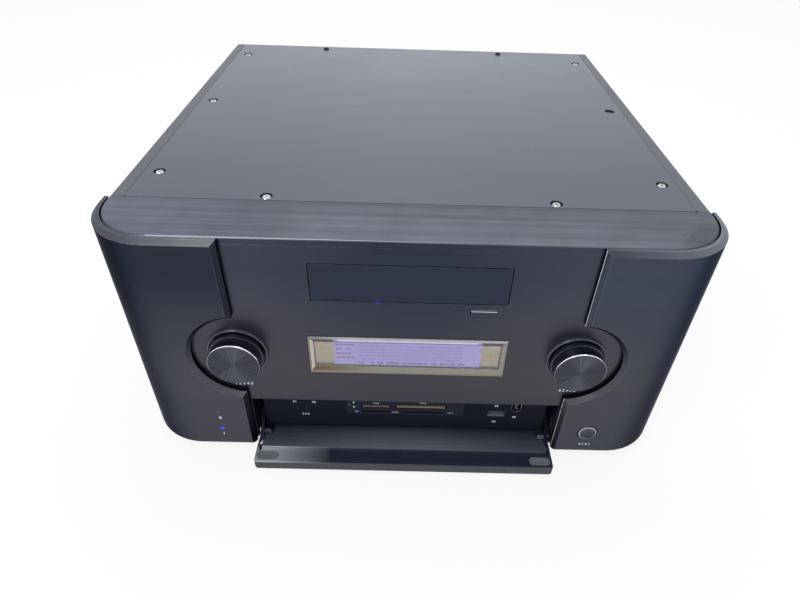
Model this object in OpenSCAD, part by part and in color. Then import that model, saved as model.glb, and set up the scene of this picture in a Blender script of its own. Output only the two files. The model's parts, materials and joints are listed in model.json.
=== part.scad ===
// Hi-fi width media receiver: brushed aluminium case, two wrap-round cheeks, a pair of knobs,
// a disc tray, a lit display and a drop-down door over the front sockets.
// x is to the right, y to the back and z up. The origin is the middle of the footprint, on the floor.

/* [Case] */
// Width over the two side panels
case_w = 420; // [415:1:430]
// Depth from the face of the front panel to the back of the rear panel
case_d = 418; // [412:1:440]
// Height from the underside to the top, without the feet
case_h = 201.5; // [200:0.5:212]
// Thickness of the side panels
side_t = 9.5; // [8:0.5:11]
// Thickness of the top cover
cover_t = 3; // [2.5:0.5:4]
// Thickness of the chassis sheet
sheet_t = 1.5; // [1.2:0.1:1.8]
// Gap between pieces that lie side by side
seam = 0.3; // [0.2:0.05:0.4]

/* [Front] */
// Radius of the two front corners
corner_r = 42; // [36:1:44]
// Depth of the front top plate, from the face to the cover
plate_d = 48; // [46:1:52]
// Thickness of the front top plate
plate_t = 5; // [4:0.5:6]
// Bevel round the edge of the front top plate
plate_bevel = 0.6; // [0.3:0.1:1]
// Thickness of the front panel
panel_t = 4; // [3.5:0.5:5]
// Height of the front panel's lower edge, above the socket recess
panel_low = 49.2; // [48:0.2:51]

/* [Cheeks] */
// How far the cheeks stand proud of the front panel
cheek_proud = 6.4; // [6:0.1:7]
// Gap between a cheek and what it wraps round
cheek_gap = 0.8; // [0.6:0.1:1]
// Distance between the two cheeks
cheek_span = 246.6; // [244:0.2:250]
// Bevel along the top and the inner edge of a cheek
cheek_bevel = 3.2; // [2:0.1:3.6]
// Radius of the round bay cut in a cheek for its knob
bay_r = 38; // [34:0.2:39]
// Distance of a bay's centre from the middle of the front
bay_x = 120.5; // [119:0.5:124]
// Height of a bay's centre above the middle of the front
bay_rise = -1.75; // [-3:0.25:1]

/* [Knobs] */
// Distance of a knob's axis from the middle of the front
knob_x = 124.6; // [122:0.2:127]
// Height of the knobs' axes above the middle of the front
knob_rise = 1.25; // [-2:0.25:3]
// Radius of a knob at its base
knob_r = 19.6; // [18:0.2:20]
// Radius of a knob at its face
knob_face_r = 18.6; // [16:0.2:18.8]
// How far a knob's face stands in front of the panel
knob_len = 15; // [13:0.2:18]
// Outer radius of the ring that a knob turns in
collar_r = 22.3; // [21.6:0.1:24]
// How far that ring stands in front of the panel
collar_h = 2.6; // [2:0.1:3]
// Radius of a knob's shaft
shaft_r = 3; // [2.5:0.1:3.5]
// Running clearance of a shaft or pin in its bore
run = 0.05; // [0.03:0.01:0.08]

/* [Display] */
// Width of the display's frame
window_w = 145.4; // [140:0.2:150]
// Height of the display's frame
window_h = 36.8; // [35:0.2:40]
// Width of the glass that shows
glass_w = 138; // [134:0.5:139]
// Height of the glass that shows
glass_h = 25; // [23:0.5:27]
// Width of the lit screen
screen_w = 109; // [100:0.5:115]
// Height of the lit screen
screen_h = 23; // [20:0.5:23]
// Height of the display's middle above the middle of the front
window_rise = -0.75; // [-2:0.25:1]

/* [Disc drive] */
// Width of the tray's front
tray_w = 135.2; // [132:0.2:138]
// Height of the tray's front
tray_h = 30.5; // [28:0.5:32]
// Depth of the middle of the tray's front below the top
tray_drop = 34.1; // [32.5:0.2:35.5]
// How far the tray comes out
tray_travel = 138; // [130:1:140]
// Width of the disc drive
drive_w = 146; // [144:0.5:148]
// Height of the disc drive
drive_h = 41.3; // [40:0.1:42]
// Length of the disc drive
drive_l = 176; // [174:1:185]
// Diameter of a disc's seat in the tray
disc_d = 121; // [120.5:0.1:122]
// Module of the tray's rack and its gear
rack_m = 1.2; // [1:0.1:1.3]
// Teeth on the loading gear
gear_n = 16; // [14:1:18]

/* [Buttons and lights] */
// Radius of the power button
power_r = 7.8; // [7:0.1:8.6]
// Place of the power button and the lights across a cheek's flat, from its inner edge to the corner
lamp_share = 0.575; // [0.5:0.005:0.65]
// Height of the power button's middle above the underside
power_z = 24.2; // [22:0.2:27]
// Heights of the two status lights above the underside
lamp_z = [19.2, 38.8];
// Travel of the power, eject and reset buttons
press = 1.2; // [0.8:0.1:1.4]
// Width of the eject button
eject_w = 18; // [16:0.5:20]
// Height of the eject button
eject_h = 5.6; // [5:0.1:6]
// Distance of the eject button from the middle of the front
eject_x = 52; // [48:0.5:56]
// Depth of the eject button below the middle of the tray's front
eject_drop = 23.2; // [22.4:0.2:24.4]

/* [Port door] */
// Height of the door's upper edge above the underside, when it is shut
door_top = 61; // [60:0.2:63]
// Height of the hinge axis above the underside
hinge_z = 19; // [18.6:0.1:19.4]
// Distance of the hinge axis behind the front panel's face
hinge_y = 16.5; // [16.2:0.1:16.8]
// Thickness of the door's skin
door_t = 6; // [5:0.1:6]
// Thickness of the raised inner part of the door
door_pan_t = 2.4; // [1.8:0.1:2.6]
// How far the pull ledge along the door's upper edge stands in front of the cheeks
ledge_d = 3.8; // [3:0.1:4.4]
// Height of that ledge
ledge_h = 7; // [6:0.5:9]
// Thickness of a hinge arm
arm_t = 3; // [2.4:0.1:3.2]
// Radius of the hinge pins
pin_r = 2; // [1.6:0.1:2.4]

/* [Front sockets] */
// Distance of the socket panel behind the front panel's face
port_y = 9; // [8.8:0.1:9.4]
// Thickness of the socket panel
port_t = 1.5; // [1.2:0.1:1.8]
// Width of the card reader's front
reader_w = 97; // [94:0.5:100]
// Height of the card reader's front
reader_h = 25.4; // [24:0.1:25.4]
// Radius of the bore of a jack socket
jack_r = 1.8; // [1.77:0.01:1.85]

/* [Feet] */
// Height of the feet
foot_h = 12; // [11.5:0.5:20]
// Radius of the feet
foot_r = 20; // [16:0.5:24]

/* [Rear] */
// Side of the rear fans
fan_w = 80; // [78:0.5:80]
// Thickness of the fans
fan_t = 25; // [20:0.5:26]
// Number of blades on a fan
fan_blades = 7; // [5:1:9]
// Width of the power supply
psu_w = 86; // [84:0.5:86]
// Height of the power supply
psu_h = 150; // [148:0.5:152]
// Length of the power supply
psu_l = 140; // [130:1:160]

/* [Hidden] */
$fn = 96;

cut = 1;                                   // how far a cutter runs past the face it opens
inner_x = case_w/2 - side_t;               // inner face of a side panel
cover_z = case_h - cover_t;                // underside of the top cover
panel_top = case_h - plate_t;              // top edge of the front panel
rear_in = case_d - sheet_t;                // inner face of the rear panel
rear_reach = 3;                            // how far the audio jacks stand out behind
tray_z = case_h - tray_drop;               // middle of the tray's front
eject_z = tray_z - eject_drop;
lamp_x = cheek_span/2 + lamp_share*(case_w/2 - corner_r - cheek_span/2);
bay_z = case_h/2 + bay_rise;
knob_z = case_h/2 + knob_rise;
window_z = case_h/2 + window_rise;
door_tip = hinge_y + hinge_z - door_top;   // y of the door's edge when it is down
face_y = -(case_d + rear_reach + door_tip)/2;

door_gap = cheek_proud - door_t;           // between the shut door and the front panel
door_w = cheek_span - 3;                   // clears both cheeks
door_low = 0.5;                            // lower edge of the shut door
door_r = 2;                                // radius of its corners
pan_gap = 1.2;                             // round the door's raised inner part
pan_w = door_w - 2*(arm_t + pan_gap);
pan_top = panel_low - pan_gap;
arm_r = 5.5;                               // radius of an arm round its pin
recess_w = door_w + 1;
port_w = pan_w - 2;
port_low = 7.5;
port_top = 62;
strike_w = 17.5;
strike_h = 7.8;
strike_t = 1.2;
strike_x = door_w/2 - strike_w/2 - 1.5;
strike_z = (panel_low + door_top)/2 - 0.4;
hole_gap = 0.3;                            // how far a screw's hole is wider than the screw, all round
vent_w = 3.6;                              // width of the cooling slots

// ---- Helpers --------------------------------------------------------------------------------

// Everything is drawn from the front panel's face and the case's underside, then set on its feet
module at_case() translate([0, face_y, foot_h]) children();

// A piece for the right-hand side (side = 1), or its mirror image
module on_side(side) {
    if (side > 0) children();
    else mirror([1, 0, 0]) children();
}
module on_both_sides() for (side = [-1, 1]) on_side(side) children();

// An outline in x and z, from y = from to y = from + t
module slab(from, t) translate([0, from + t, 0]) rotate([90, 0, 0]) linear_extrude(t) children();

// An outline in y and z, from x = from to x = from + t
module bar(from, t) translate([from, 0, 0]) rotate([90, 0, 90]) linear_extrude(t) children();

// A round rod along y
module rod(r, from, len) translate([0, from + len, 0]) rotate([90, 0, 0]) cylinder(r = r, h = len);

// A cone along y, from radius r1 at the front to r2 at the back
module cone(r1, r2, from, len) translate([0, from, 0]) rotate([-90, 0, 0])
    cylinder(r1 = r1, r2 = r2, h = len);

// A box from its lowest corner
module box(at, size) translate(at) cube(size);

module round_rect(w, h, r) {
    square([w - 2*r, h], center = true);
    square([w, h - 2*r], center = true);
    for (x = [-1, 1], y = [-1, 1]) translate([x*(w/2 - r), y*(h/2 - r)]) circle(r);
}

// A long hole or pad with round ends
module oblong(w, h) {
    square([w - h, h], center = true);
    for (x = [-1, 1]) translate([x*(w - h)/2, 0]) circle(h/2);
}

// Sweeps a profile, drawn as (distance out from the face, height), along the right half of the front
module wrap(x_in) {
    bar(x_in, case_w/2 - corner_r - x_in) mirror([1, 0]) children();
    translate([case_w/2 - corner_r, corner_r, 0]) rotate([0, 0, -90])
        rotate_extrude(angle = 90) translate([corner_r, 0]) children();
    translate([case_w/2, plate_d, 0]) rotate([90, 0, 0]) linear_extrude(plate_d - corner_r) children();
}

// ---- Case -----------------------------------------------------------------------------------

flange = 18;              // height of the base pan's turned-up edges
pan_front = hinge_y + hinge_z + 1.5;       // the base pan stays clear of the door when it is down
stay_z = 8;               // height of the main board's stand-offs
frame_w = 22;             // width of the frame under the top cover
lip_h = 8;                // height of that frame's front and rear edges
foot_at = [[-165, 62], [165, 62], [-165, case_d - 45], [165, case_d - 45]];
foot_screw_r = 2;
disk_at = [-73.5, plate_d + 10];           // corner of the hard disk
disk_size = [147, 101.6, 26];
disk_lift = 5;
psu_gap = 2;              // on both sides of the power supply
psu_x = inner_x - psu_gap - psu_w;
board_x = -inner_x + 6;
board_y = disk_at.y + disk_size.y + 10.9;
board_w = psu_x - psu_gap - board_x;
board_d = rear_in - 2 - board_y;
board_t = 1.6;
board_z = sheet_t + stay_z;
board_top = board_z + board_t;
stay_r = 3;
stay_bolt_r = 1.6;
stay_at = [for (x = [10, board_w/2, board_w - 10], y = [12, board_d/2, board_d - 24])
    [board_x + x, board_y + y]];
base_vent_l = 26;
base_vents = [for (i = [0:15], j = [0:1]) [-150 + 12*i, board_y - 60.5 + (base_vent_l + 8)*j]];
side_vent_l = 44;
side_vents = [for (i = [0:13], j = [0:1]) [board_y + 59.5 + 11*i, 60 + (side_vent_l + 8)*j]];

module base_outline() {
    translate([-inner_x + seam, pan_front]) square([2*(inner_x - seam), rear_in - seam - pan_front]);
    // tongues that close the underside behind the cheeks
    for (flip = [0, 1]) mirror([flip, 0]) intersection() {
        translate([cheek_span/2 + 0.5, 0]) square([case_w/2, plate_d]);
        union() {
            translate([0, seam]) square([case_w/2 - corner_r, plate_d - seam]);
            translate([0, corner_r]) square([case_w/2 - seam, plate_d - corner_r]);
            translate([case_w/2 - corner_r, corner_r]) circle(corner_r - seam);
        }
    }
}

module base_pan() at_case() color("#2a2b30") difference() {
    union() {
        linear_extrude(sheet_t) base_outline();
        on_both_sides() box([inner_x - seam - sheet_t, plate_d + 2, 0],
            [sheet_t, rear_in - plate_d - 4, flange]);
        box([-inner_x + 4, rear_in - seam - sheet_t, 0], [psu_x + inner_x - 5, sheet_t, flange/3]);
        box([-port_w/2, pan_front, 0], [port_w, sheet_t, flange]);
    }
    for (p = foot_at) translate([p.x, p.y, -cut])
        cylinder(r = foot_screw_r + hole_gap, h = sheet_t + 2*cut);
    for (p = base_vents) translate([p.x, p.y, -cut])
        linear_extrude(sheet_t + 2*cut) rotate(90) oblong(base_vent_l, vent_w);
}

side_bevel = 1;
module side_panel(side) at_case() color("#24262c") on_side(side) difference() {
    union() {
        bar(inner_x, side_t - side_bevel) translate([plate_d + seam, 0])
            square([case_d - plate_d - seam, case_h]);
        // the outer face, bevelled along its long edges
        translate([case_w/2 - side_bevel, case_d, 0]) rotate([90, 0, 0])
            linear_extrude(case_d - plate_d - seam) polygon([[0, 0], [side_bevel, side_bevel],
                [side_bevel, case_h - side_bevel], [0, case_h]]);
    }
    for (p = side_vents) translate([inner_x - cut, p.x, p.y]) rotate([90, 0, 90])
        linear_extrude(side_t + 2*cut) rotate(90) oblong(side_vent_l, vent_w);
}
module left_side_panel() side_panel(-1);
module right_side_panel() side_panel(1);

module top_frame() at_case() color("#303137") difference() {
    union() {
        box([-inner_x + seam, plate_d + seam, cover_z - sheet_t],
            [2*(inner_x - seam), rear_in - 2*seam - plate_d, sheet_t]);
        on_both_sides() box([inner_x - seam - sheet_t, plate_d + 6, cover_z - flange],
            [sheet_t, rear_in - plate_d - 12, flange - sheet_t]);
        for (y = [plate_d + seam, rear_in - seam - sheet_t]) box([-inner_x + 8, y, cover_z - lip_h],
            [2*inner_x - 16, sheet_t, lip_h - sheet_t]);
    }
    box([-inner_x + frame_w, plate_d + frame_w, cover_z - sheet_t - cut],
        [2*(inner_x - frame_w), rear_in - plate_d - 2*frame_w, sheet_t + 2*cut]);
    for (p = concat(cover_holes, rear_holes)) translate([p.x, p.y, cover_z - sheet_t - cut])
        cylinder(r = cover_screw_r + hole_gap, h = sheet_t + 2*cut);
    for (p = rear_screw_at) translate([p.x, 0, p.y]) rod(screw_r + hole_gap, rear_in - 4, 4 + cut);
}

cover_screw_r = 1.6;
cover_head_r = 3.1;
cover_head_h = 1.5;
cover_sink_r = 4.5;
cover_sink = 1.9;
cover_screw_l = 5;
head_bevel = 0.5;
hex_r = 1.2;
cover_row_x = inner_x - 11.8;
cover_front_x = 102.4;
cover_row_y = [plate_d + 39, (plate_d + 1 + case_d)/2, case_d - 38];
rear_holes = [for (side = [-1, 1]) [102*side, case_d - 11]];
cover_holes = concat([for (y = cover_row_y) [-cover_row_x, y]],
    [for (side = [-1, 1]) [cover_front_x*side, plate_d + 6]],
    [for (i = [0, 2, 1]) [cover_row_x, cover_row_y[i]]]);
empty_hole = 7;           // this one has lost its screw

notch_r = 1;
notch_h = 2;

module top_cover() at_case() color("#3a3c43") difference() {
    box([-inner_x + seam, plate_d + seam, cover_z], [2*(inner_x - seam), case_d - plate_d - seam, cover_t]);
    for (p = cover_holes) translate([p.x, p.y, 0]) {
        translate([0, 0, cover_z - cut]) cylinder(r = cover_screw_r + hole_gap, h = cover_t + 2*cut);
        translate([0, 0, case_h - cover_sink]) cylinder(r = cover_sink_r, h = cover_sink + cut);
    }
    for (p = rear_holes) translate([p.x, p.y, cover_z - cut])
        cylinder(r = cover_screw_r + hole_gap, h = cover_t + 2*cut);
    // small notches where the cover meets the front plate and the side panels
    for (side = [-1, 1]) translate([side*(inner_x - seam), plate_d + seam, case_h - notch_h])
        cylinder(r = notch_r, h = notch_h + cut);
}

module hex_socket(r, depth) translate([0, 0, -depth]) cylinder(r = r, h = depth + cut, $fn = 6);

module cover_screws() at_case() color("silver") for (i = [0:len(cover_holes) - 1]) if (i != empty_hole)
    translate([cover_holes[i].x, cover_holes[i].y, case_h - cover_sink]) difference() {
        union() {
            cylinder(r = cover_head_r, h = cover_head_h - head_bevel);
            translate([0, 0, cover_head_h - head_bevel])
                cylinder(r1 = cover_head_r, r2 = cover_head_r - head_bevel, h = head_bevel);
            translate([0, 0, -cover_screw_l]) cylinder(r = cover_screw_r, h = cover_screw_l);
        }
        translate([0, 0, cover_head_h]) hex_socket(hex_r, 1);
    }

// ---- Front ----------------------------------------------------------------------------------

window_land = 2.2;        // width of the ledge that the display's frame sits on
window_seat = 2;          // depth of that ledge behind the face
tray_gap = 0.6;           // round the tray's front
button_gap = 0.3;         // round the eject button and the stems
power_gap = 0.5;          // round the power button
light_gap = 0.1;          // round the lights and the knobs' bushes
bush_r = 4.6;
power_stem_r = 3;
lamp_r = 1.5;
tray_lamp_w = 3;
tray_lamp_h = 1;
tray_lamp = [-21.7, tray_z - tray_h/2 - tray_gap - tray_lamp_h/2];   // in a notch under the tray

module front_panel() at_case() color("#2b2d35") difference() {
    on_both_sides() wrap(0) translate([-panel_t, sheet_t]) square([panel_t, panel_top - sheet_t]);
    box([-recess_w/2, -cut, 0], [recess_w, panel_t + 2*cut, panel_low]);
    // tray
    translate([0, 0, tray_z]) slab(-cut, panel_t + 2*cut)
        round_rect(tray_w + 2*tray_gap, tray_h + 2*tray_gap, 1);
    translate([tray_lamp.x, 0, tray_lamp.y]) slab(-cut, panel_t + 2*cut)
        square([tray_lamp_w + 2*light_gap, tray_lamp_h + 2*light_gap], center = true);
    // display
    translate([0, 0, window_z]) {
        slab(-cut, window_seat + cut) square([window_w + 2*seam, window_h + 2*seam], center = true);
        slab(-cut, panel_t + 2*cut)
            square([window_w - 2*window_land, window_h - 2*window_land], center = true);
    }
    // buttons, lights and knobs
    translate([eject_x, 0, eject_z]) slab(-cut, panel_t + 2*cut)
        square([eject_w + 2*button_gap, eject_h + 2*button_gap], center = true);
    for (side = [-1, 1]) translate([side*knob_x, 0, knob_z]) rod(bush_r + light_gap, -cut, panel_t + 2*cut);
    translate([lamp_x, 0, power_z]) rod(power_stem_r + button_gap, -cut, panel_t + 2*cut);
    for (z = lamp_z) translate([-lamp_x, 0, z]) rod(lamp_r + light_gap, -cut, panel_t + 2*cut);
}

module front_top_plate() at_case() color("#4a4c55") {
    on_both_sides() wrap(0) polygon([[-corner_r, panel_top], [0, panel_top], [0, case_h - plate_bevel],
        [-plate_bevel, case_h], [-corner_r, case_h]]);
    box([-(case_w/2 - corner_r), corner_r, panel_top], [case_w - 2*corner_r, plate_d - corner_r, plate_t]);
}

cheek_foot = 1;           // small bevel along the bottom of a cheek
boss_r = 5;
boss_at = [for (x = [case_w/2 - corner_r - 12, cheek_span/2 + 12], z = [40, case_h - 41.5]) [x, z]];

module cheek(side) at_case() color("#262830") on_side(side) {
    difference() {
        wrap(cheek_span/2) polygon([[cheek_gap, 0], [cheek_proud - cheek_foot, 0], [cheek_proud, cheek_foot],
            [cheek_proud, case_h - cheek_bevel], [cheek_proud - cheek_bevel, case_h], [cheek_gap, case_h]]);
        // bevel of the inner edge
        translate([0, 0, -cut]) linear_extrude(case_h + 2*cut) polygon([
            [cheek_span/2 - cut, -cheek_proud + cheek_bevel + cut],
            [cheek_span/2 - cut, -cheek_proud - cut],
            [cheek_span/2 + cheek_bevel + cut, -cheek_proud - cut]]);
        // round bay for the knob, bevelled like the inner edge
        translate([bay_x, 0, bay_z]) {
            rod(bay_r, -cheek_proud - cut, cheek_proud + 2*cut);
            cone(bay_r + cheek_bevel + cut, bay_r - cut, -cheek_proud - cut, cheek_bevel + 2*cut);
        }
        if (side > 0) translate([lamp_x, 0, power_z])
            rod(power_r + power_gap, -cheek_proud - cut, cheek_proud + cut);
        else for (z = lamp_z) translate([lamp_x, 0, z])
            rod(lamp_r + light_gap, -cheek_proud - cut, cheek_proud + cut);
    }
    // fixing bosses that stand the cheek off the front panel
    for (p = boss_at) translate([p.x, 0, p.y]) rod(boss_r, -cheek_gap, cheek_gap);
}
module left_cheek() cheek(-1);
module right_cheek() cheek(1);

// ---- Display --------------------------------------------------------------------------------

frame_face = 0.4;         // how far the display's frame stands out
frame_edge = 0.6;         // width of the frame's flat front edge
glass_y = 0.9;            // front of the glass
glass_t = 1.1;

module display_frame() at_case() color("#8f867b") translate([0, 0, window_z]) difference() {
    slab(-frame_face, frame_face + window_seat) square([window_w, window_h], center = true);
    // the opening narrows from the frame's thin front edge to the glass
    intersection() {
        translate([-window_w, 0, 0]) bar(0, 2*window_w) polygon([
            [-frame_face - cut, -window_h/2 + frame_edge - cut], [glass_y, -glass_h/2],
            [glass_y, glass_h/2], [-frame_face - cut, window_h/2 - frame_edge + cut]]);
        translate([0, 0, -window_h]) linear_extrude(2*window_h) polygon([
            [-window_w/2 + frame_edge - cut, -frame_face - cut], [-glass_w/2, glass_y],
            [glass_w/2, glass_y], [window_w/2 - frame_edge + cut, -frame_face - cut]]);
    }
    slab(glass_y - 0.01, window_seat) square([glass_w, glass_h], center = true);
}

module display_glass() at_case() color("lightblue", 0.4) translate([0, 0, window_z])
    slab(glass_y, glass_t) square([glass_w - 0.2, glass_h - 0.2], center = true);

module display_screen() at_case() color("#b9aef0") translate([0, 0, window_z])
    slab(window_seat + 0.1, 0.6) square([screen_w, screen_h], center = true);

module_y = window_seat + 0.7;
can_t = 5;                // depth of the display's metal can, in front of its board
module display_module() at_case() color("#857c72") translate([0, 0, window_z]) {
    slab(module_y, panel_t - module_y)
        square([window_w - 2*window_land - 2*seam, window_h - 2*window_land - 2*seam], center = true);
    slab(panel_t, can_t) square([window_w + 12, window_h + 6], center = true);
    slab(panel_t + can_t, board_t) square([window_w + 12, window_h + 22], center = true);
}

// ---- Knobs ----------------------------------------------------------------------------------

nut_r = 7;
nut_t = 2;
knob_back = 0.6;          // gap between a knob and the panel
knob_gap = 0.8;           // gap between a knob and its collar
collar_lip = (collar_r - knob_r - knob_gap)/2;
encoder_w = 18;
encoder_l = 10;

module knob_collars() at_case() color("#15161a") for (side = [-1, 1]) translate([side*knob_x, 0, knob_z])
    rotate([90, 0, 0]) rotate_extrude() {
        translate([knob_r + knob_gap, 0]) square([collar_r - knob_r - knob_gap, collar_h - collar_lip]);
        translate([(collar_r + knob_r + knob_gap)/2, collar_h - collar_lip]) circle(collar_lip);
    }

module encoders() at_case() color("#7d8086") for (side = [-1, 1]) translate([side*knob_x, 0, knob_z])
    difference() {
        union() {
            slab(panel_t, encoder_l) square(encoder_w, center = true);
            rod(bush_r, -nut_t - 0.4, panel_t + nut_t + 0.4);
            rotate([90, 0, 0]) cylinder(r = nut_r, h = nut_t, $fn = 6);
        }
        rod(shaft_r + run, -4, shaft_l);
    }

groove_z = 6.6;           // height of the groove round a knob
groove_d = 0.8;
rim_t = 0.7;              // width of the bright rim
face_sink = 0.4;          // depth of the face inside it
press_fit = 0.02;
shaft_end = 10;           // how far a shaft reaches into its knob
shaft_l = 21;

module knob(side) at_case() color("#1a1b20") translate([side*knob_x, 0, knob_z]) rotate([90, 0, 0])
    difference() {
        // a groove runs round the knob, and a thin bright rim stands round its spun face
        rotate_extrude() polygon([[0, knob_back], [knob_r, knob_back], [knob_r, groove_z],
            [knob_r - groove_d, groove_z + groove_d/2], [knob_r - groove_d, groove_z + groove_d],
            [knob_r - groove_d/4, groove_z + 1.5*groove_d], [knob_face_r + rim_t/2, knob_len - rim_t],
            [knob_face_r - rim_t/2, knob_len], [knob_face_r - rim_t, knob_len],
            [knob_face_r - 2*rim_t, knob_len - face_sink], [0, knob_len - face_sink]]);
        translate([0, 0, knob_back - cut]) cylinder(r = nut_r + 1.5, h = nut_t + 1 + cut);
        cylinder(r = shaft_r + press_fit, h = shaft_end + 0.3);
    }
module left_knob() knob(-1);
module right_knob() knob(1);

module shaft(side) at_case() color("silver") translate([side*knob_x, 0, knob_z])
    rod(shaft_r, -shaft_end, shaft_l);
module left_shaft() shaft(-1);
module right_shaft() shaft(1);

// ---- Buttons and lights ---------------------------------------------------------------------

button_proud = 0.8;
button_bevel = 1;
switch_w = 6;
switch_l = 4;
switch_gap = 0.3;
power_end = panel_t + 2;  // where each button's stem ends
eject_end = panel_t + 3;
reset_end = port_y + port_t + 2;

module power_button() at_case() color("#1c1d22") translate([lamp_x, 0, power_z]) {
    cone(power_r - button_bevel, power_r, -cheek_proud - button_proud, button_bevel);
    rod(power_r, -cheek_proud - button_proud + button_bevel, cheek_proud - press - button_bevel - 0.2);
    rod(power_stem_r, -cheek_proud + 1, cheek_proud - 1 + power_end);
}

module eject_button() at_case() color("#22242a") translate([eject_x, 0, eject_z]) {
    bar(-eject_w/2, eject_w) polygon([[-button_proud, -eject_h/2 + 0.2], [-button_proud + 0.2, -eject_h/2],
        [panel_t - press, -eject_h/2], [panel_t - press, eject_h/2],
        [-button_proud + button_bevel, eject_h/2], [-button_proud, eject_h/2 - button_bevel]]);
    slab(2, eject_end - 2) square([6, 3], center = true);
}

// A switch behind a button whose stem ends at y = stem, with its face just past the button's travel.
// Its board stands off the panel whose back is at y = back. The legs are to its sides, set by drop.
module press_switch(stem, back, drop) {
    face = stem + press + switch_gap;
    translate([0, 0, drop]) {
        slab(face, switch_l) square(switch_w, center = true);
        slab(face + switch_l, 1.6) square([4*switch_w, 1.5*switch_w], center = true);
        for (x = [-1, 1]) translate([x*1.6*switch_w, 0, 0]) rod(2, back, face + switch_l - back);
    }
}

module button_switches() at_case() color("#4b4d52") {
    translate([lamp_x, 0, power_z]) press_switch(power_end, panel_t, 0);
    translate([eject_x, 0, eject_z]) press_switch(eject_end, panel_t, -3);
    translate([reset_at.x, 0, reset_at.y]) press_switch(reset_end, port_y + port_t, 0);
}

module status_lights() at_case() color("#2f6bff") {
    for (z = lamp_z) translate([-lamp_x, 0, z]) rod(lamp_r, -cheek_proud - 0.1, cheek_proud + panel_t);
    translate([tray_lamp.x, 0, tray_lamp.y]) slab(0, panel_t)
        square([tray_lamp_w, tray_lamp_h], center = true);
}

// ---- Disc drive -----------------------------------------------------------------------------

drive_y = 9;              // front of the drive's case
drive_t = 1.2;
tray_plate_w = 128;
tray_plate_t = 9;
tray_len = 168;
tray_plate_z = tray_z - 3;             // underside of the tray
tray_from = panel_t + 1.5;             // front end of the tray
tray_end = 4;             // thickness of its raised front end
seat_y = tray_from + 68;  // middle of a disc
seat_depth = 2.4;
small_disc_r = 40.5;
small_seat_depth = 3.8;
spindle_r = 19;
rack_h = 3.5;
rack_x = -46;             // pitch line of the rack
gear_r = rack_m*gear_n/2;
tooth = 0.42;             // share of the pitch that a tooth takes at the pitch line
pitch = PI*rack_m;
gear_y = drive_y + 16;
gear_x = rack_x + gear_r;
gear_bore_r = 2.2;
gear_base = tray_plate_z - rack_h - 0.4;   // underside of the gear's teeth
pulley_t = 2.5;
gear_deck = gear_base - pulley_t - seam;
rail_w = (drive_w - 2*drive_t - tray_plate_w)/2 - seam;

// Outline of one rack tooth, pointing to +x from the pitch line, centred on y = 0
module rack_tooth() polygon([
    [-1.1*rack_m, -(tooth/2*pitch + 0.4*rack_m)], [0.8*rack_m, -(tooth/2*pitch - 0.32*rack_m)],
    [0.8*rack_m, tooth/2*pitch - 0.32*rack_m], [-1.1*rack_m, tooth/2*pitch + 0.4*rack_m]]);

module gear_outline() {
    circle(gear_r - 1.1*rack_m);
    for (i = [0:gear_n - 1]) rotate(180 + i*360/gear_n) polygon([
        [0.3*gear_r, -(tooth/2*pitch + 0.3*rack_m)], [gear_r - 1.1*rack_m, -(tooth/2*pitch + 0.3*rack_m)],
        [gear_r + 0.8*rack_m, -(tooth/2*pitch - 0.36*rack_m)],
        [gear_r + 0.8*rack_m, tooth/2*pitch - 0.36*rack_m],
        [gear_r - 1.1*rack_m, tooth/2*pitch + 0.3*rack_m], [0.3*gear_r, tooth/2*pitch + 0.3*rack_m]]);
}

module disc_tray() at_case() color("#26272b") difference() {
    union() {
        translate([0, tray_from + tray_len/2, tray_plate_z]) linear_extrude(tray_plate_t)
            round_rect(tray_plate_w, tray_len, 3);
        box([-tray_plate_w/2 + 6, tray_from, tray_plate_z - 2],
            [tray_plate_w - 12, tray_end, tray_plate_t + 4]);
        // rack along the underside, with a gap between teeth facing the gear at rest
        translate([0, 0, tray_plate_z - rack_h]) linear_extrude(rack_h) {
            translate([rack_x - 1.1*rack_m - 3, gear_y - 2.5*pitch])
                square([3.1, tray_travel + 5*pitch]);
            for (i = [-2:ceil(tray_travel/pitch) + 1])
                translate([rack_x, gear_y + (i + 0.5)*pitch]) rack_tooth();
        }
    }
    // seats for a large and a small disc, and the way in for the spindle
    translate([0, seat_y, tray_plate_z + tray_plate_t]) {
        translate([0, 0, -seat_depth]) cylinder(r = disc_d/2, h = seat_depth + cut);
        translate([0, 0, -small_seat_depth]) cylinder(r = small_disc_r, h = seat_depth);
    }
    translate([0, seat_y, tray_plate_z - cut]) {
        cylinder(r = spindle_r, h = tray_plate_t + 2*cut);
        translate([-spindle_r, 0, 0]) cube([2*spindle_r, 74, tray_plate_t + 2*cut]);
    }
}

module tray_front() at_case() color("#2b2d35") translate([0, 0, tray_z]) {
    slab(0, panel_t) round_rect(tray_w, tray_h, 0.8);
    slab(panel_t, tray_from - panel_t) round_rect(tray_w - 30, tray_h - 18, 2);
}

module loading_gear() at_case() color("#d8d4c4")
    translate([gear_x, gear_y, gear_base]) difference() {
        union() {
            linear_extrude(rack_h + 0.1) gear_outline();
            translate([0, 0, -pulley_t]) cylinder(r = gear_r + 4, h = pulley_t);
        }
        translate([0, 0, -pulley_t - cut]) cylinder(r = gear_bore_r, h = pulley_t + rack_h + 2*cut);
    }

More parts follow.
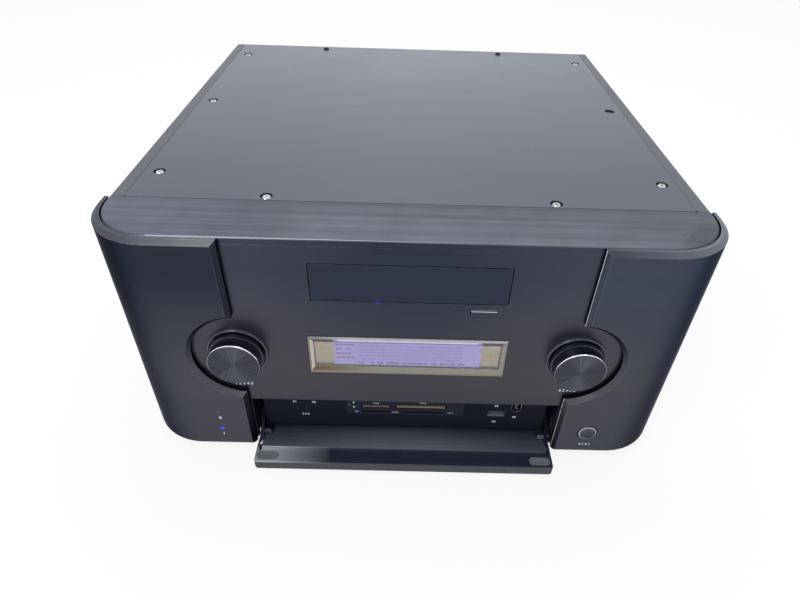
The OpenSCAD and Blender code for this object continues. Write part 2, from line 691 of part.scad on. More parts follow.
drive_z = tray_z - drive_h/2;
runner_h = 2.5;
module drive_case() at_case() color("#9a9ca0") {
    z = drive_z;
    difference() {
        box([-drive_w/2, drive_y, z], [drive_w, drive_l, drive_h]);
        box([-drive_w/2 + drive_t, drive_y - cut, z + drive_t],
            [drive_w - 2*drive_t, drive_l - drive_t + cut, drive_h - 2*drive_t]);
        // stamped ring in the lid
        translate([0, drive_y + drive_l/2, z + drive_h - 0.4]) difference() {
            cylinder(r = 52, h = cut);
            translate([0, 0, -cut]) cylinder(r = 46, h = 3*cut);
        }
    }
    // runners under and beside the tray
    on_both_sides() {
        box([drive_w/2 - drive_t - rail_w, drive_y + 2, z + drive_t],
            [rail_w, drive_l - 12, tray_plate_z + 16 - z - drive_t]);
        box([tray_plate_w/2 - 8, drive_y + 2, tray_plate_z - seam - runner_h],
            [8 + seam + 0.1, drive_l - 12, runner_h]);
    }
    // deck that carries the loading gear
    box([-drive_w/2 + drive_t, drive_y + 4, z + drive_t], [drive_w - 2*drive_t, 26, gear_deck - z - drive_t]);
    translate([gear_x, gear_y, gear_deck]) cylinder(r = gear_bore_r - run, h = rack_h + pulley_t + 0.1);
}

shelf_w = 16;             // the drive's brackets step out below it, and stand on the base pan
shelf_drop = 4;
module drive_brackets() at_case() color("#303137") on_both_sides()
    translate([drive_w/2 + 0.1, drive_y, drive_z - shelf_drop]) {
        box([0, 6, 0], [sheet_t, drive_l - 16, drive_h]);
        box([0, 6, -sheet_t], [shelf_w, drive_l - 16, sheet_t]);
        box([shelf_w - sheet_t, 40, sheet_t - drive_z + shelf_drop],
            [sheet_t, drive_l - 60, drive_z - shelf_drop - 2*sheet_t]);
    }

// ---- Socket panel ---------------------------------------------------------------------------

reset_at = [-81.6, 29.2];
reset_r = 1.4;
jack_at = [[-89.3, 43], [-73.6, 43]];
jack_ring_r = 3;
jack_body = 9;            // side of a jack socket's body
jack_l = 12;
socket_proud = 0.4;       // how far the sockets stand out of the panel
socket_gap = 0.2;         // between a socket and its hole
socket_wall = 0.6;
usb_at = [[75.7, 27], [75.7, 43.5]];
usb_w = 14;
usb_h = 6.6;
usb_l = 16;
usb_tongue_w = 11;
usb_tongue_t = 1.8;
data_at = [91.5, 36.4];
data_w = 8.4;
data_h = 12.4;
data_l = 14;
reader_z = 23.7 + reader_h/2;
reader_lip = 2;           // how far the reader's front laps over the edge of its hole
spacer_x = [-104, -30, 30, 104];
spacer_r = 3;

module data_outline(grow) {
    translate([-data_w/2 - grow, -data_h/2 + data_w/2]) square([data_w + 2*grow, data_h - data_w/2 + grow]);
    translate([0, -data_h/2 + data_w/2]) circle(data_w/2 + grow);
}

module port_panel() at_case() color("#14161d") difference() {
    union() {
        box([-port_w/2, port_y, port_low], [port_w, port_t, port_top - port_low]);
        for (x = spacer_x) translate([x, 0, port_top - 5]) rod(spacer_r, panel_t, port_y - panel_t);
    }
    for (p = usb_at) translate([p.x, 0, p.y]) slab(port_y - cut, port_t + 2*cut)
        square([usb_w + 2*socket_gap, usb_h + 2*socket_gap], center = true);
    for (p = jack_at) translate([p.x, 0, p.y]) rod(jack_ring_r + socket_gap, port_y - cut, port_t + 2*cut);
    translate([data_at.x, 0, data_at.y]) slab(port_y - cut, port_t + 2*cut) data_outline(socket_gap);
    translate([reset_at.x, 0, reset_at.y]) rod(reset_r + socket_gap, port_y - cut, port_t + 2*cut);
    translate([0, 0, reader_z]) slab(port_y - cut, port_t + 2*cut)
        square([reader_w - 2*reader_lip, reader_h - 1.5*reader_lip], center = true);
}

// Card slots: middle, width and height of each
slots = [[-24, 2, 24.4, 2.6], [-24, -4.6, 24.4, 2], [13, 2, 43, 3.6], [13, -4.6, 24, 2]];
reader_face = 0.8;
reader_l = 46;
card_deep = 36;           // depth of the card slots
light_at = [-42.3, 3, -1.8];           // two small lights left of the slots: across, and up

module card_reader() at_case() color("#1b1d26") translate([0, 0, reader_z]) difference() {
    union() {
        slab(port_y - reader_face, reader_face) round_rect(reader_w, reader_h, 1.5);
        slab(port_y, reader_l) square([reader_w - 2*reader_lip - 2*socket_gap,
            reader_h - 1.5*reader_lip - 2*socket_gap], center = true);
    }
    for (s = slots) translate([s[0], 0, s[1]]) slab(port_y - 2, card_deep)
        square([s[2], s[3]], center = true);
    for (z = [light_at[1], light_at[2]]) translate([light_at[0], 0, z]) rod(1, port_y - 2, 3);
}

module usb_sockets() at_case() color("silver") for (p = usb_at) translate([p.x, 0, p.y]) {
    difference() {
        slab(port_y - socket_proud, usb_l) square([usb_w, usb_h], center = true);
        slab(port_y - cut, usb_l - 2) square([usb_w - 2*socket_wall, usb_h - 2*socket_wall], center = true);
    }
    slab(port_y + 1, usb_l - 3) translate([-usb_tongue_w/2, 0.4]) square([usb_tongue_w, usb_tongue_t]);
}

module jack_sockets() at_case() color("#26262a") for (p = jack_at) translate([p.x, 0, p.y]) difference() {
    union() {
        rod(jack_ring_r, port_y - 2*socket_proud, port_t + 2*socket_proud);
        slab(port_y + port_t, jack_l) square(jack_body, center = true);
    }
    rod(jack_r, port_y - 2, jack_l + 2);
}

module data_socket() at_case() color("silver") translate([data_at.x, 0, data_at.y]) {
    difference() {
        slab(port_y - socket_proud, data_l) data_outline(0);
        slab(port_y - cut, data_l - 1.4) data_outline(-socket_wall);
    }
    slab(port_y + 1, data_l - 3.4) square([2.4, 7.6], center = true);
}

module reset_button() at_case() color("#3a3c43") translate([reset_at.x, 0, reset_at.y]) {
    rod(reset_r, port_y - 0.5, reset_end - port_y + 0.5);
    rod(reset_r + 1, port_y + port_t + seam, 1);
}

// ---- Port door ------------------------------------------------------------------------------

ledge_y = cheek_proud + ledge_d;
ledge_slope = 2;          // slope under the ledge
ledge_bevel = 3;          // bevel at its two ends
arm_foot_w = 5.6;         // foot of an arm on the door's inner face
arm_foot_h = 4.2;
arm_foot_z = [27.5, 35.5];

// Turns what is drawn shut to the open rest position
module door_down() translate([0, hinge_y, hinge_z]) rotate([90, 0, 0])
    translate([0, -hinge_y, -hinge_z]) children();

module port_door() at_case() color("#33353c") door_down() difference() {
    union() {
        intersection() {
            bar(-door_w/2, door_w) polygon([[-door_gap, door_low], [-cheek_proud + 2, door_low],
                [-cheek_proud, door_low + 2], [-cheek_proud, door_top - ledge_h - ledge_slope],
                [-ledge_y, door_top - ledge_h], [-ledge_y, door_top - 1], [-ledge_y + 1, door_top],
                [-door_gap - 0.5, door_top], [-door_gap, door_top - 0.5]]);
            translate([0, 0, (door_low + door_top)/2]) slab(-ledge_y - cut, ledge_y + 2*cut)
                round_rect(door_w, door_top - door_low, door_r);
            // bevelled ends of the ledge
            linear_extrude(door_top) polygon([[-door_w/2, 0], [-door_w/2, -ledge_y + ledge_bevel],
                [-door_w/2 + ledge_bevel, -ledge_y], [door_w/2 - ledge_bevel, -ledge_y],
                [door_w/2, -ledge_y + ledge_bevel], [door_w/2, 0]]);
        }
        // raised inner part that fills the recess
        bar(-pan_w/2, pan_w) polygon([[-door_gap, door_low + 2], [-door_gap, pan_top],
            [-door_gap + door_pan_t - 0.6, pan_top], [-door_gap + door_pan_t, pan_top - 0.6],
            [-door_gap + door_pan_t, door_low + 3], [-door_gap + door_pan_t - 1, door_low + 2]]);
        // arms that reach back to the hinge axis
        on_both_sides() bar(pan_w/2, arm_t) {
            polygon([[-door_gap, 6], [hinge_y, hinge_z - arm_r], [hinge_y, hinge_z + arm_r],
                [6, pan_top - 12], [-door_gap, pan_top - 4]]);
            translate([hinge_y, hinge_z]) circle(arm_r);
        }
        // their feet on the inner part
        on_both_sides() translate([0, door_pan_t - door_gap, 0]) bar(pan_w/2 - arm_foot_w, arm_foot_w + 1)
            polygon([[-1, arm_foot_z[0]], [arm_foot_h, arm_foot_z[0]], [arm_foot_h, arm_foot_z[1] - 2],
                [arm_foot_h - 2, arm_foot_z[1]], [-1, arm_foot_z[1]]]);
    }
    on_both_sides() {
        translate([strike_x, 0, strike_z]) slab(-door_gap - strike_t, strike_t + cut)
            oblong(strike_w + 0.4, strike_h + 0.4);
        translate([pan_w/2 - cut, hinge_y, hinge_z]) rotate([0, 90, 0])
            cylinder(r = pin_r + run, h = arm_t + 2*cut);
    }
}

module strike_plates() at_case() color("#5a5d66") door_down() on_both_sides()
    translate([strike_x, 0, strike_z]) difference() {
        slab(-door_gap - strike_t, strike_t - 0.2) oblong(strike_w, strike_h);
        for (x = [-1, 1]) translate([x*(strike_w - strike_h)/2, 0, 0])
            cone(0.6, 2.2, -door_gap - 0.2 - 0.7, 0.8);
    }

bracket_t = 2.4;
bracket_h = 28;           // height of the plate that fixes a bracket to the socket panel
bracket_w = 10;
bracket_x = port_w/2 - bracket_t;
eye_r = hinge_y - port_y - port_t;         // the bracket's eye just reaches the socket panel's back

module hinge_brackets() at_case() color("#3c3e45") on_both_sides() difference() {
    union() {
        bar(bracket_x, bracket_t) {
            translate([port_y + port_t, hinge_z - eye_r]) square([eye_r, 2*eye_r]);
            translate([hinge_y, hinge_z]) circle(eye_r);
            translate([port_y + port_t, hinge_z]) square([2*eye_r, bracket_h - 4]);
        }
        box([bracket_x - bracket_w, port_y + port_t, hinge_z - 4], [bracket_w, sheet_t, bracket_h]);
    }
    translate([bracket_x - cut, hinge_y, hinge_z]) rotate([0, 90, 0])
        cylinder(r = pin_r + press_fit, h = bracket_t + 2*cut);
}

module hinge_pins() at_case() color("silver") on_both_sides() translate([bracket_x - 1.5, hinge_y, hinge_z])
    rotate([0, 90, 0]) {
        cylinder(r = pin_r, h = pan_w/2 + arm_t - bracket_x + 1.7);
        cylinder(r = pin_r + 1.2, h = 1.3);
    }

// ---- Feet -----------------------------------------------------------------------------------

foot_rim = 6;             // width of a foot's rim round its rubber pad
pad_t = 3.9;
foot_head_r = 3.8;
foot_head_z = 2;          // the screw's head lies sunk in the pad
foot_head_h = pad_t + 0.1 - foot_head_z;

module feet() at_case() color("#8d9096") for (p = foot_at) translate([p.x, p.y, -foot_h]) difference() {
    rotate_extrude() polygon([[0, 1.5], [foot_r - 3, 1.5], [foot_r - 1.5, 2.5], [foot_r, foot_h - 4],
        [foot_r, foot_h - 0.8], [foot_r - 0.8, foot_h], [0, foot_h]]);
    translate([0, 0, -cut]) cylinder(r = foot_r - foot_rim, h = pad_t + 0.1 + cut);
    translate([0, 0, -cut]) cylinder(r = foot_screw_r + hole_gap, h = foot_h + 2*cut);
}

module foot_pads() at_case() color("#18181a") for (p = foot_at) translate([p.x, p.y, -foot_h]) difference() {
    cylinder(r = foot_r - foot_rim - 0.2, h = pad_t);
    translate([0, 0, -cut]) cylinder(r = foot_head_r + 1.2, h = pad_t + 2*cut);
}

module foot_screws() at_case() color("silver") for (p = foot_at) translate([p.x, p.y, -foot_h]) difference() {
    union() {
        translate([0, 0, foot_head_z]) cylinder(r = foot_head_r, h = foot_head_h);
        translate([0, 0, foot_head_z]) cylinder(r = foot_screw_r, h = foot_h + sheet_t);
    }
    translate([0, 0, foot_head_z]) mirror([0, 0, 1]) hex_socket(1.6, 1.4);
}

// ---- Inside ---------------------------------------------------------------------------------

module main_board() at_case() color("#1f4a2e") difference() {
    box([board_x, board_y, board_z], [board_w, board_d, board_t]);
    for (p = stay_at) translate([p.x, p.y, board_z - cut])
        cylinder(r = stay_bolt_r + 0.2, h = board_t + 2*cut);
}

module board_standoffs() at_case() color("#b08d3c") for (p = stay_at) translate([p.x, p.y, sheet_t]) {
    cylinder(r = stay_r, h = stay_z, $fn = 6);
    cylinder(r = stay_bolt_r, h = stay_z + board_t + 1.4);
}

sink_w = 84;
sink_at = [board_x + board_w - sink_w/2 - 16.5, rear_in - 110];
chip_w = 36;
chip_h = 4;
sink_base = 6;
fin_n = 21;
fin_t = 1;
fin_h = 44;

module heat_sink() at_case() color("#b9bcc2") translate([sink_at.x, sink_at.y, board_top]) {
    translate([-chip_w/2, -chip_w/2, 0]) cube([chip_w, chip_w, chip_h]);
    translate([-sink_w/2, -sink_w/2, chip_h]) cube([sink_w, sink_w, sink_base]);
    for (i = [0:fin_n - 1])
        translate([-sink_w/2 + i*(sink_w - fin_t)/(fin_n - 1), -sink_w/2, chip_h + sink_base])
            cube([fin_t, sink_w, fin_h]);
}

module_at = [for (x = [124, 114, 84, 74]) sink_at.x - x];
module_l = 134;
module_h = 27;
module_t = 1.2;
module_socket = [6, module_l + 4, 5];
chip = [3.6, 11, 12];     // memory chips, one block on both faces
chip_n = 8;

module memory_modules() at_case() color("#2c5e3c") for (x = module_at)
    translate([x, rear_in - 200, board_top]) {
        translate([-module_socket.x/2, 0, 0]) cube(module_socket);
        translate([-module_t/2, 2, module_socket.z]) cube([module_t, module_l, module_h]);
        for (j = [0:chip_n - 1]) translate([-chip.x/2, 6 + j*(module_l - 6)/chip_n, module_socket.z + 7])
            cube(chip);
    }

// ---- Rear -----------------------------------------------------------------------------------

io_w = 158;
io_h = 44;
io_x = board_x + board_w - io_w - 2;
io_z = board_z;
slot_pitch = 20.32;
slot_w = 13;
slot_cover_w = 18.4;
slot_cover_t = 1;
slot_h = 100;
slot_x = board_x + 11;     // middle of the first expansion slot
slot_n = 1 + floor((io_x - slot_x - slot_cover_w/2)/slot_pitch);       // as many as fit
fan_z = io_z + io_h + fan_w/2 + 8;
fan_x = [io_x + io_w/2 - fan_w/2 - 0.2, io_x + io_w/2 + fan_w/2 + 0.2];
fan_bore_r = fan_w/2 - 2;
fan_hub_r = 17;
fan_hole = 71.5/80*fan_w/2; // distance of a fan's screws from its middle, each way
guard_w = 1.8;            // width of a ring of the guard
guard_pitch = 5.4;
screw_r = 1.7;
module fan_corners() for (i = [-1, 1], j = [-1, 1]) translate([i*fan_hole, 0, j*fan_hole]) children();
psu_z = 4;
psu_fan_z = psu_z + 96;
inlet_at = [psu_x + psu_w/2, psu_z + 26];
inlet_w = 56;
inlet_h = 24;
inlet_l = 24;
inlet_lip = 2.6;
inlet_mid = 11;           // middle of the socket and of the rocker, from the unit's middle
rocker_mid = 18;
pin_seat = 16;
socket_w = 24;
socket_h = 16;
rocker_w = 12;
rocker_h = 18;
rocker_pin_r = 1.2;
rocker_pin_l = rocker_w + 2.4;
rocker_gap = 0.4;
rocker_y = -1;

// Pressed guard over a fan: what is cut away between its rings and spokes
module guard_cut(r) difference() {
    circle(r);
    circle(fan_hub_r);
    for (ring = [fan_hub_r + guard_pitch : guard_pitch : r - 1]) difference() {
        circle(ring + guard_w/2);
        circle(ring - guard_w/2);
    }
    for (a = [45, 135]) rotate(a) square([2*fan_w, 2*guard_w], center = true);
}

module rear_panel() at_case() color("#26282e") difference() {
    box([-inner_x + seam, rear_in, 0], [2*(inner_x - seam), sheet_t, cover_z - seam]);
    box([io_x, rear_in - cut, io_z], [io_w, sheet_t + 2*cut, io_h]);
    for (i = [0:slot_n - 1]) box([slot_x + i*slot_pitch - slot_w/2, rear_in - cut, board_z + 4],
        [slot_w, sheet_t + 2*cut, slot_h]);
    for (x = fan_x) translate([x, 0, fan_z]) {
        slab(rear_in - cut, sheet_t + 2*cut) guard_cut(fan_bore_r);
        fan_corners() rod(screw_r + hole_gap, rear_in - cut, sheet_t + 2*cut);
    }
    for (p = rear_screw_at) translate([p.x, 0, p.y]) rod(screw_r + hole_gap, rear_in - cut, sheet_t + 2*cut);
    box([psu_x + 4, rear_in - cut, psu_z + 10], [psu_w - 8, sheet_t + 2*cut, psu_h - 20]);
}

module slot_covers() at_case() color("#9a9ca0") for (i = [0:slot_n - 1])
    translate([slot_x + i*slot_pitch - slot_cover_w/2, rear_in - seam - slot_cover_t, board_z + 1]) {
        cube([slot_cover_w, slot_cover_t, slot_h + 8]);
        translate([0, -10, slot_h + 8 - slot_cover_t]) cube([slot_cover_w, 10.5, slot_cover_t]);
    }

module fan_frame(x) translate([x, rear_in - seam - fan_t, fan_z]) difference() {
    union() {
        difference() {
            slab(0, fan_t) round_rect(fan_w, fan_w, 4);
            rod(fan_bore_r, -cut, fan_t + 2*cut);
        }
        rod(fan_hub_r, fan_t - hub_t, hub_t);
        for (a = [45, 135, 225, 315]) rotate([0, a, 0]) translate([fan_hub_r - 1, fan_t - hub_t, -hub_t/2])
            cube([fan_bore_r - fan_hub_r + 1.5, hub_t, hub_t]);
    }
    fan_corners() rod(screw_r + hole_gap, -cut, fan_t + 2*cut);
    rod(fan_axle_r + run, fan_t - hub_t - cut, hub_t - 1 + cut);
}
hub_t = 4;                // thickness of the fixed hub behind a rotor
fan_axle_r = 1.5;
axle_l = 3.5;
blade_t = 1.6;
blade_tilt = 36;
module fan_frames() at_case() color("#1b1c20") for (x = fan_x) fan_frame(x);

// Rotor with its cup at the front and its axle in the frame's hub, drawn with its axis along y
module rotor(bore_r, t) {
    rod(fan_hub_r, 1, t - hub_t - 1 - seam);
    rod(fan_axle_r, t - hub_t - 1, axle_l);
    for (i = [0:fan_blades - 1]) rotate([0, i*360/fan_blades, 0]) intersection() {
        translate([fan_hub_r - 2 + (bore_r - fan_hub_r)/2, t/2 - 2, 0]) rotate([blade_tilt, 0, 0])
            cube([bore_r - fan_hub_r + 2, blade_t, 1.1*fan_hub_r], center = true);
        rod(bore_r - 1.2, 0, t);
    }
}
module fan_rotor(x) at_case() color("#2a2b30") translate([x, rear_in - seam - fan_t, fan_z])
    rotor(fan_bore_r, fan_t);
module left_fan_rotor() fan_rotor(fan_x[0]);
module right_fan_rotor() fan_rotor(fan_x[1]);

psu_fan_r = 38;
psu_fan_t = 25;
psu_t = 1.2;
module psu_case() at_case() color("#6e7075") {
    difference() {
        box([psu_x, rear_in - seam - psu_l, psu_z], [psu_w, psu_l, psu_h]);
        box([psu_x + psu_t, rear_in - seam - psu_l + psu_t, psu_z + psu_t],
            [psu_w - 2*psu_t, psu_l - 2*psu_t, psu_h - 2*psu_t]);
        translate([psu_x + psu_w/2, 0, psu_fan_z]) slab(rear_in - seam - 2*psu_t, 4*psu_t)
            guard_cut(psu_fan_r);
        translate([inlet_at.x, 0, inlet_at.y]) slab(rear_in - seam - 2*psu_t, 4*psu_t)
            square([inlet_w + 0.4, inlet_h + 0.4], center = true);
        for (p = psu_screw_at) translate([p.x, 0, p.y]) rod(screw_r + hole_gap, rear_in - 4, 6);
        // intake slots in the front end
        for (i = [0:7]) translate([psu_x + 16 + 8*i, 0, psu_z + 60])
            slab(rear_in - seam - psu_l - cut, 3*psu_t) rotate(90) oblong(70, vent_w);
    }
    // inner fan frame, hung from the rear wall
    translate([psu_x + psu_w/2, rear_in - seam - psu_t - psu_fan_t, psu_fan_z]) difference() {
        union() {
            slab(0, psu_fan_t) difference() {
                square(fan_w, center = true);
                circle(psu_fan_r);
            }
            rod(fan_hub_r, psu_fan_t - hub_t, hub_t);
        }
        rod(fan_axle_r + run, psu_fan_t - hub_t - cut, hub_t - 1 + cut);
    }
}

module psu_fan_rotor() at_case() color("#2a2b30")
    translate([psu_x + psu_w/2, rear_in - seam - psu_t - psu_fan_t, psu_fan_z])
        rotor(psu_fan_r, psu_fan_t);

// One moulded unit holds the mains pins in a deep recess and the rocker in a shallow well
module mains_inlet() at_case() color("#17181b") translate([inlet_at.x, 0, inlet_at.y]) {
    difference() {
        union() {
            slab(rear_in - seam, inlet_lip) round_rect(inlet_w + 4, inlet_h + 4, 2);
            slab(rear_in - inlet_l, inlet_l - seam) square([inlet_w, inlet_h], center = true);
        }
        translate([-inlet_mid, 0, 0]) slab(rear_in - pin_seat, inlet_l)
            square([socket_w, socket_h], center = true);
        translate([rocker_mid, 0, 0]) {
            slab(rear_in - 7, inlet_l)
                square([rocker_w + 2*rocker_gap, rocker_h + 2*rocker_gap], center = true);
            translate([-rocker_pin_l/2 - 0.2, rear_in + rocker_y, 0]) rotate([0, 90, 0])
                cylinder(r = rocker_pin_r + run, h = rocker_pin_l + 0.4);
        }
    }
    for (i = [-1, 0, 1]) slab(rear_in - pin_seat - 0.5, 10)
        translate([7*i - inlet_mid, i == 0 ? -2.5 : 2]) square([2, 4], center = true);
}

rocker_a = 12;            // the rocker tips this far to each side of level
module mains_switch() at_case() color("#202125")
    translate([inlet_at.x + rocker_mid, rear_in + rocker_y, inlet_at.y]) {
        rotate([rocker_a, 0, 0]) bar(-rocker_w/2, rocker_w) polygon([[-4, -rocker_h/4],
            [1.2, -rocker_h/2 + 0.6], [3.4, -rocker_h/2 + 0.6], [2.4, 0], [3.4, rocker_h/2 - 0.6],
            [1.2, rocker_h/2 - 0.6], [-4, rocker_h/4]]);
        translate([-rocker_pin_l/2, 0, 0]) rotate([0, 90, 0]) cylinder(r = rocker_pin_r, h = rocker_pin_l);
    }

// Sockets on the rear edge of the main board: middle x, middle z, width and height in the shield
shield_t = 1;
sockets = [[-70, 24, 15, 32], [-48, 22, 14, 28], [-26, 30, 15.5, 13], [-26, 12, 15, 6], [-3, 12, 38, 11],
    [-3, 30, 38, 11]];
socket_l = 20;            // length of the sockets, and how much of it stands on the board
socket_foot = 14;
stacks_x = 30;            // middle of the network socket over two more ports
stacks_w = 16;
stacks_h = 32;
lan_w = 12;
lan_h = 8;
lan_deep = 12;
audio_x = [50, 64];
audio_z = [9, 22, 35];
barrel_r = 3.8;
shield_gap = 0.4;         // round the sockets in the shield

module shield_at() translate([io_x + io_w/2, 0, io_z]) children();

module io_shield() at_case() color("#a4a7ac") shield_at() difference() {
    union() {
        translate([0, 0, io_h/2]) slab(rear_in - seam - shield_t, shield_t)
            square([io_w + 4, io_h + 4], center = true);
        translate([0, 0, io_h/2]) slab(rear_in - seam, seam + sheet_t - 0.2)
            square([io_w - 0.6, io_h - 0.6], center = true);
    }
    for (s = sockets) translate([s[0], 0, s[1]]) slab(rear_in - 3, 6)
        square([s[2] + 2*shield_gap, s[3] + 2*shield_gap], center = true);
    translate([stacks_x, 0, io_h/2]) slab(rear_in - 3, 6)
        square([stacks_w + 2*shield_gap, stacks_h + 2*shield_gap], center = true);
    for (x = audio_x, z = audio_z) translate([x, 0, z]) rod(barrel_r + shield_gap, rear_in - 3, 6);
}

module rear_sockets() at_case() color("#8a8c92") shield_at() {
    front = case_d + 0.5 - socket_l;
    for (s = sockets) difference() {
        union() {
            translate([s[0], 0, s[1]]) slab(front, socket_l) square([s[2], s[3]], center = true);
            box([s[0] - s[2]/2, front, board_t], [s[2], socket_foot, s[1] - board_t]);
        }
        translate([s[0], 0, s[1]]) slab(case_d - 1.5, 3) difference() {
            square([s[2] - 2, s[3] - 2], center = true);
            square([s[2] - 6, s[3] - 5.6], center = true);
        }
    }
    // network socket over a pair of ports
    difference() {
        translate([stacks_x, 0, 0]) {
            box([-stacks_w/2, front, board_t], [stacks_w, socket_foot, (io_h + stacks_h)/2 - board_t]);
            translate([0, 0, io_h/2]) slab(front, socket_l) square([stacks_w, stacks_h], center = true);
        }
        translate([stacks_x, 0, io_h/2 + 9]) slab(rear_in - lan_deep, socket_l)
            square([lan_w, lan_h], center = true);
        for (z = [-10, -2]) translate([stacks_x, 0, io_h/2 + z]) slab(rear_in - lan_deep, socket_l)
            difference() {
                square([13, 5], center = true);
                translate([0, 0.8]) square([usb_tongue_w, usb_tongue_t], center = true);
            }
    }
    // audio jacks
    difference() {
        union() {
            box([audio_x[0] - 6, front, board_t], [audio_x[1] - audio_x[0] + 12, socket_foot, io_h - 4]);
            for (x = audio_x, z = audio_z) translate([x, 0, z])
                rod(barrel_r, front + 10, case_d + rear_reach - front - 10);
        }
        for (x = audio_x, z = audio_z) translate([x, 0, z]) rod(jack_r, rear_in - 13, 18);
    }
}

pan_head_r = 3.2;
pan_head_h = 1.9;
module pan_screw(l) difference() {
    union() {
        rotate_extrude() polygon([[0, 0], [pan_head_r, 0], [pan_head_r, 0.8],
            [pan_head_r - 1.1, pan_head_h], [0, pan_head_h]]);
        translate([0, 0, -l]) cylinder(r = screw_r - 0.1, h = l + 0.1);
    }
    translate([0, 0, pan_head_h]) hex_socket(hex_r, 1.1);
}

// Screws along the edges of the rear panel, and four that hold the power supply
psu_screw_at = [for (x = [8, psu_w - 8], z = [5, psu_h - 5]) [psu_x + x, psu_z + z]];
rear_screw_top = cover_z - 12.5;
rear_screw_at = concat(psu_screw_at, [for (z = [30, rear_screw_top/2 + 15, rear_screw_top]) [6 - inner_x, z]],
    [for (z = [-14, 0]) [inner_x - 6, rear_screw_top + z]], [for (x = [-60, 60]) [x, cover_z - 5]]);
module pan_head_screws() at_case() color("#1b1c20") {
    for (p = rear_holes) translate([p.x, p.y, case_h]) pan_screw(6);
    for (p = rear_screw_at) translate([p.x, case_d, p.y]) rotate([-90, 0, 0]) pan_screw(5);
    for (x = fan_x) translate([x, case_d, fan_z]) fan_corners() rotate([-90, 0, 0]) pan_screw(8);
}

module disk_corners() for (x = [14, disk_size.x - 14], y = [12, disk_size.y - 12])
    translate([disk_at.x + x, disk_at.y + y, 0]) children();

module disk_mounts() at_case() color("#2a2420") disk_corners() translate([0, 0, sheet_t])
    cylinder(r = 5, h = disk_lift);

module hard_disk() at_case() color("#8d9096") translate([disk_at.x, disk_at.y, sheet_t + disk_lift])
    difference() {
        union() {
            cube([disk_size.x, disk_size.y, disk_size.z - 1]);
            translate([4, 4, 0]) cube([disk_size.x - 8, disk_size.y - 8, disk_size.z]);
        }
        translate([disk_size.x/2 + 16, disk_size.y/2, disk_size.z - 0.6]) difference() {
            cylinder(r = 36, h = cut);
            translate([0, 0, -cut]) cylinder(r = 30, h = 3*cut);
        }
    }

base_pan();
left_side_panel();
right_side_panel();
rear_panel();
top_frame();
top_cover();
cover_screws();
pan_head_screws();
front_panel();
front_top_plate();
left_cheek();
right_cheek();
display_frame();
display_glass();
display_screen();
display_module();
knob_collars();
encoders();
left_knob();
left_shaft();
right_knob();
right_shaft();
power_button();
eject_button();
button_switches();
status_lights();
drive_case();
disc_tray();
tray_front();
loading_gear();
drive_brackets();
port_panel();
card_reader();
usb_sockets();
jack_sockets();
data_socket();
reset_button();
port_door();
strike_plates();
hinge_brackets();
hinge_pins();
feet();
foot_pads();
foot_screws();
main_board();
board_standoffs();
heat_sink();
memory_modules();
rear_sockets();
slot_covers();
fan_frames();
left_fan_rotor();
right_fan_rotor();
psu_case();
psu_fan_rotor();
mains_inlet();
mains_switch();
io_shield();
hard_disk();
disk_mounts();
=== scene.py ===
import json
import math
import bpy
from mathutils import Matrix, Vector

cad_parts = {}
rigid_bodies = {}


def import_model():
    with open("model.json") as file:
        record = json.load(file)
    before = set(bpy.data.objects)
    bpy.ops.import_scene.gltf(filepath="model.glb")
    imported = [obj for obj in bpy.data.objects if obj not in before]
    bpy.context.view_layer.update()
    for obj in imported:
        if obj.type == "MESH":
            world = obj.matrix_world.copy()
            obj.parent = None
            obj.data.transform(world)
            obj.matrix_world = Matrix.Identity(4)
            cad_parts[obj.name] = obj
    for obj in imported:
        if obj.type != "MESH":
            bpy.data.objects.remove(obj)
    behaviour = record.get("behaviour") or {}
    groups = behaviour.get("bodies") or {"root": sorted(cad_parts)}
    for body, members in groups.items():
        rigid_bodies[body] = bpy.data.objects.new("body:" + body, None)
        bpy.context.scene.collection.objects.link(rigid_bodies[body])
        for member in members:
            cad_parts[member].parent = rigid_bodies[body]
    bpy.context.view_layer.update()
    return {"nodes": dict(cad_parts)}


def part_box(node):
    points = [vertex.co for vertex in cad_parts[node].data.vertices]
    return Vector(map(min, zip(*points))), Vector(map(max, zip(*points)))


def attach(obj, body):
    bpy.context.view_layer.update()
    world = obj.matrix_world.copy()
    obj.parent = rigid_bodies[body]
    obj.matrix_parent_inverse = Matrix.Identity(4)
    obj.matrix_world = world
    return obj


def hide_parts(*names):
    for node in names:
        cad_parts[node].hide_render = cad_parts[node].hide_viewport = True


bl_info = {
    "name": "Media Receiver",
    "version": (1, 0, 0),
    "blender": (4, 5, 0),
    "location": "View3D > Sidebar > Receiver",
    "description": "Dresses the brushed media receiver: finishes, knobs, display, marks and contacts",
    "category": "Object",
}

import bmesh
import bpy
from bpy.props import FloatProperty, FloatVectorProperty, IntProperty, PointerProperty
from mathutils import Matrix, Vector

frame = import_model()
NODES = frame["nodes"]
MM = 0.001


# ---- Places and sizes taken from the frame ---------------------------------------------------

def middle(node):
    low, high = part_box(node)
    return (low + high) / 2


def size(node):
    low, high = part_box(node)
    return high - low


FACE_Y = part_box("front_panel")[0].y       # front face of the front panel
CHEEK_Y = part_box("left_cheek")[0].y       # front face of the two cheeks
UNDERSIDE_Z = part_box("base_pan")[0].z
TOP_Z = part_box("top_cover")[1].z
KNOBS = {"left": middle("left_knob"), "right": middle("right_knob")}


def linear(*steps):
    """A colour given in the 0-255 steps of a colour picker, as Blender's linear numbers."""
    shares = [step / 255 for step in steps]
    return tuple(c / 12.92 if c <= 0.04045 else ((c + 0.055) / 1.055) ** 2.4 for c in shares)


def tone(rgb):
    """A property's colour as it is, or a tuple of 0-255 steps made linear."""
    return linear(*rgb) if isinstance(rgb, tuple) else rgb


# ---- Properties --------------------------------------------------------------------------------

def colour(name, description, *rgb):
    return FloatVectorProperty(name=name, description=description, subtype="COLOR", size=3,
                               min=0, max=1, default=linear(*rgb))


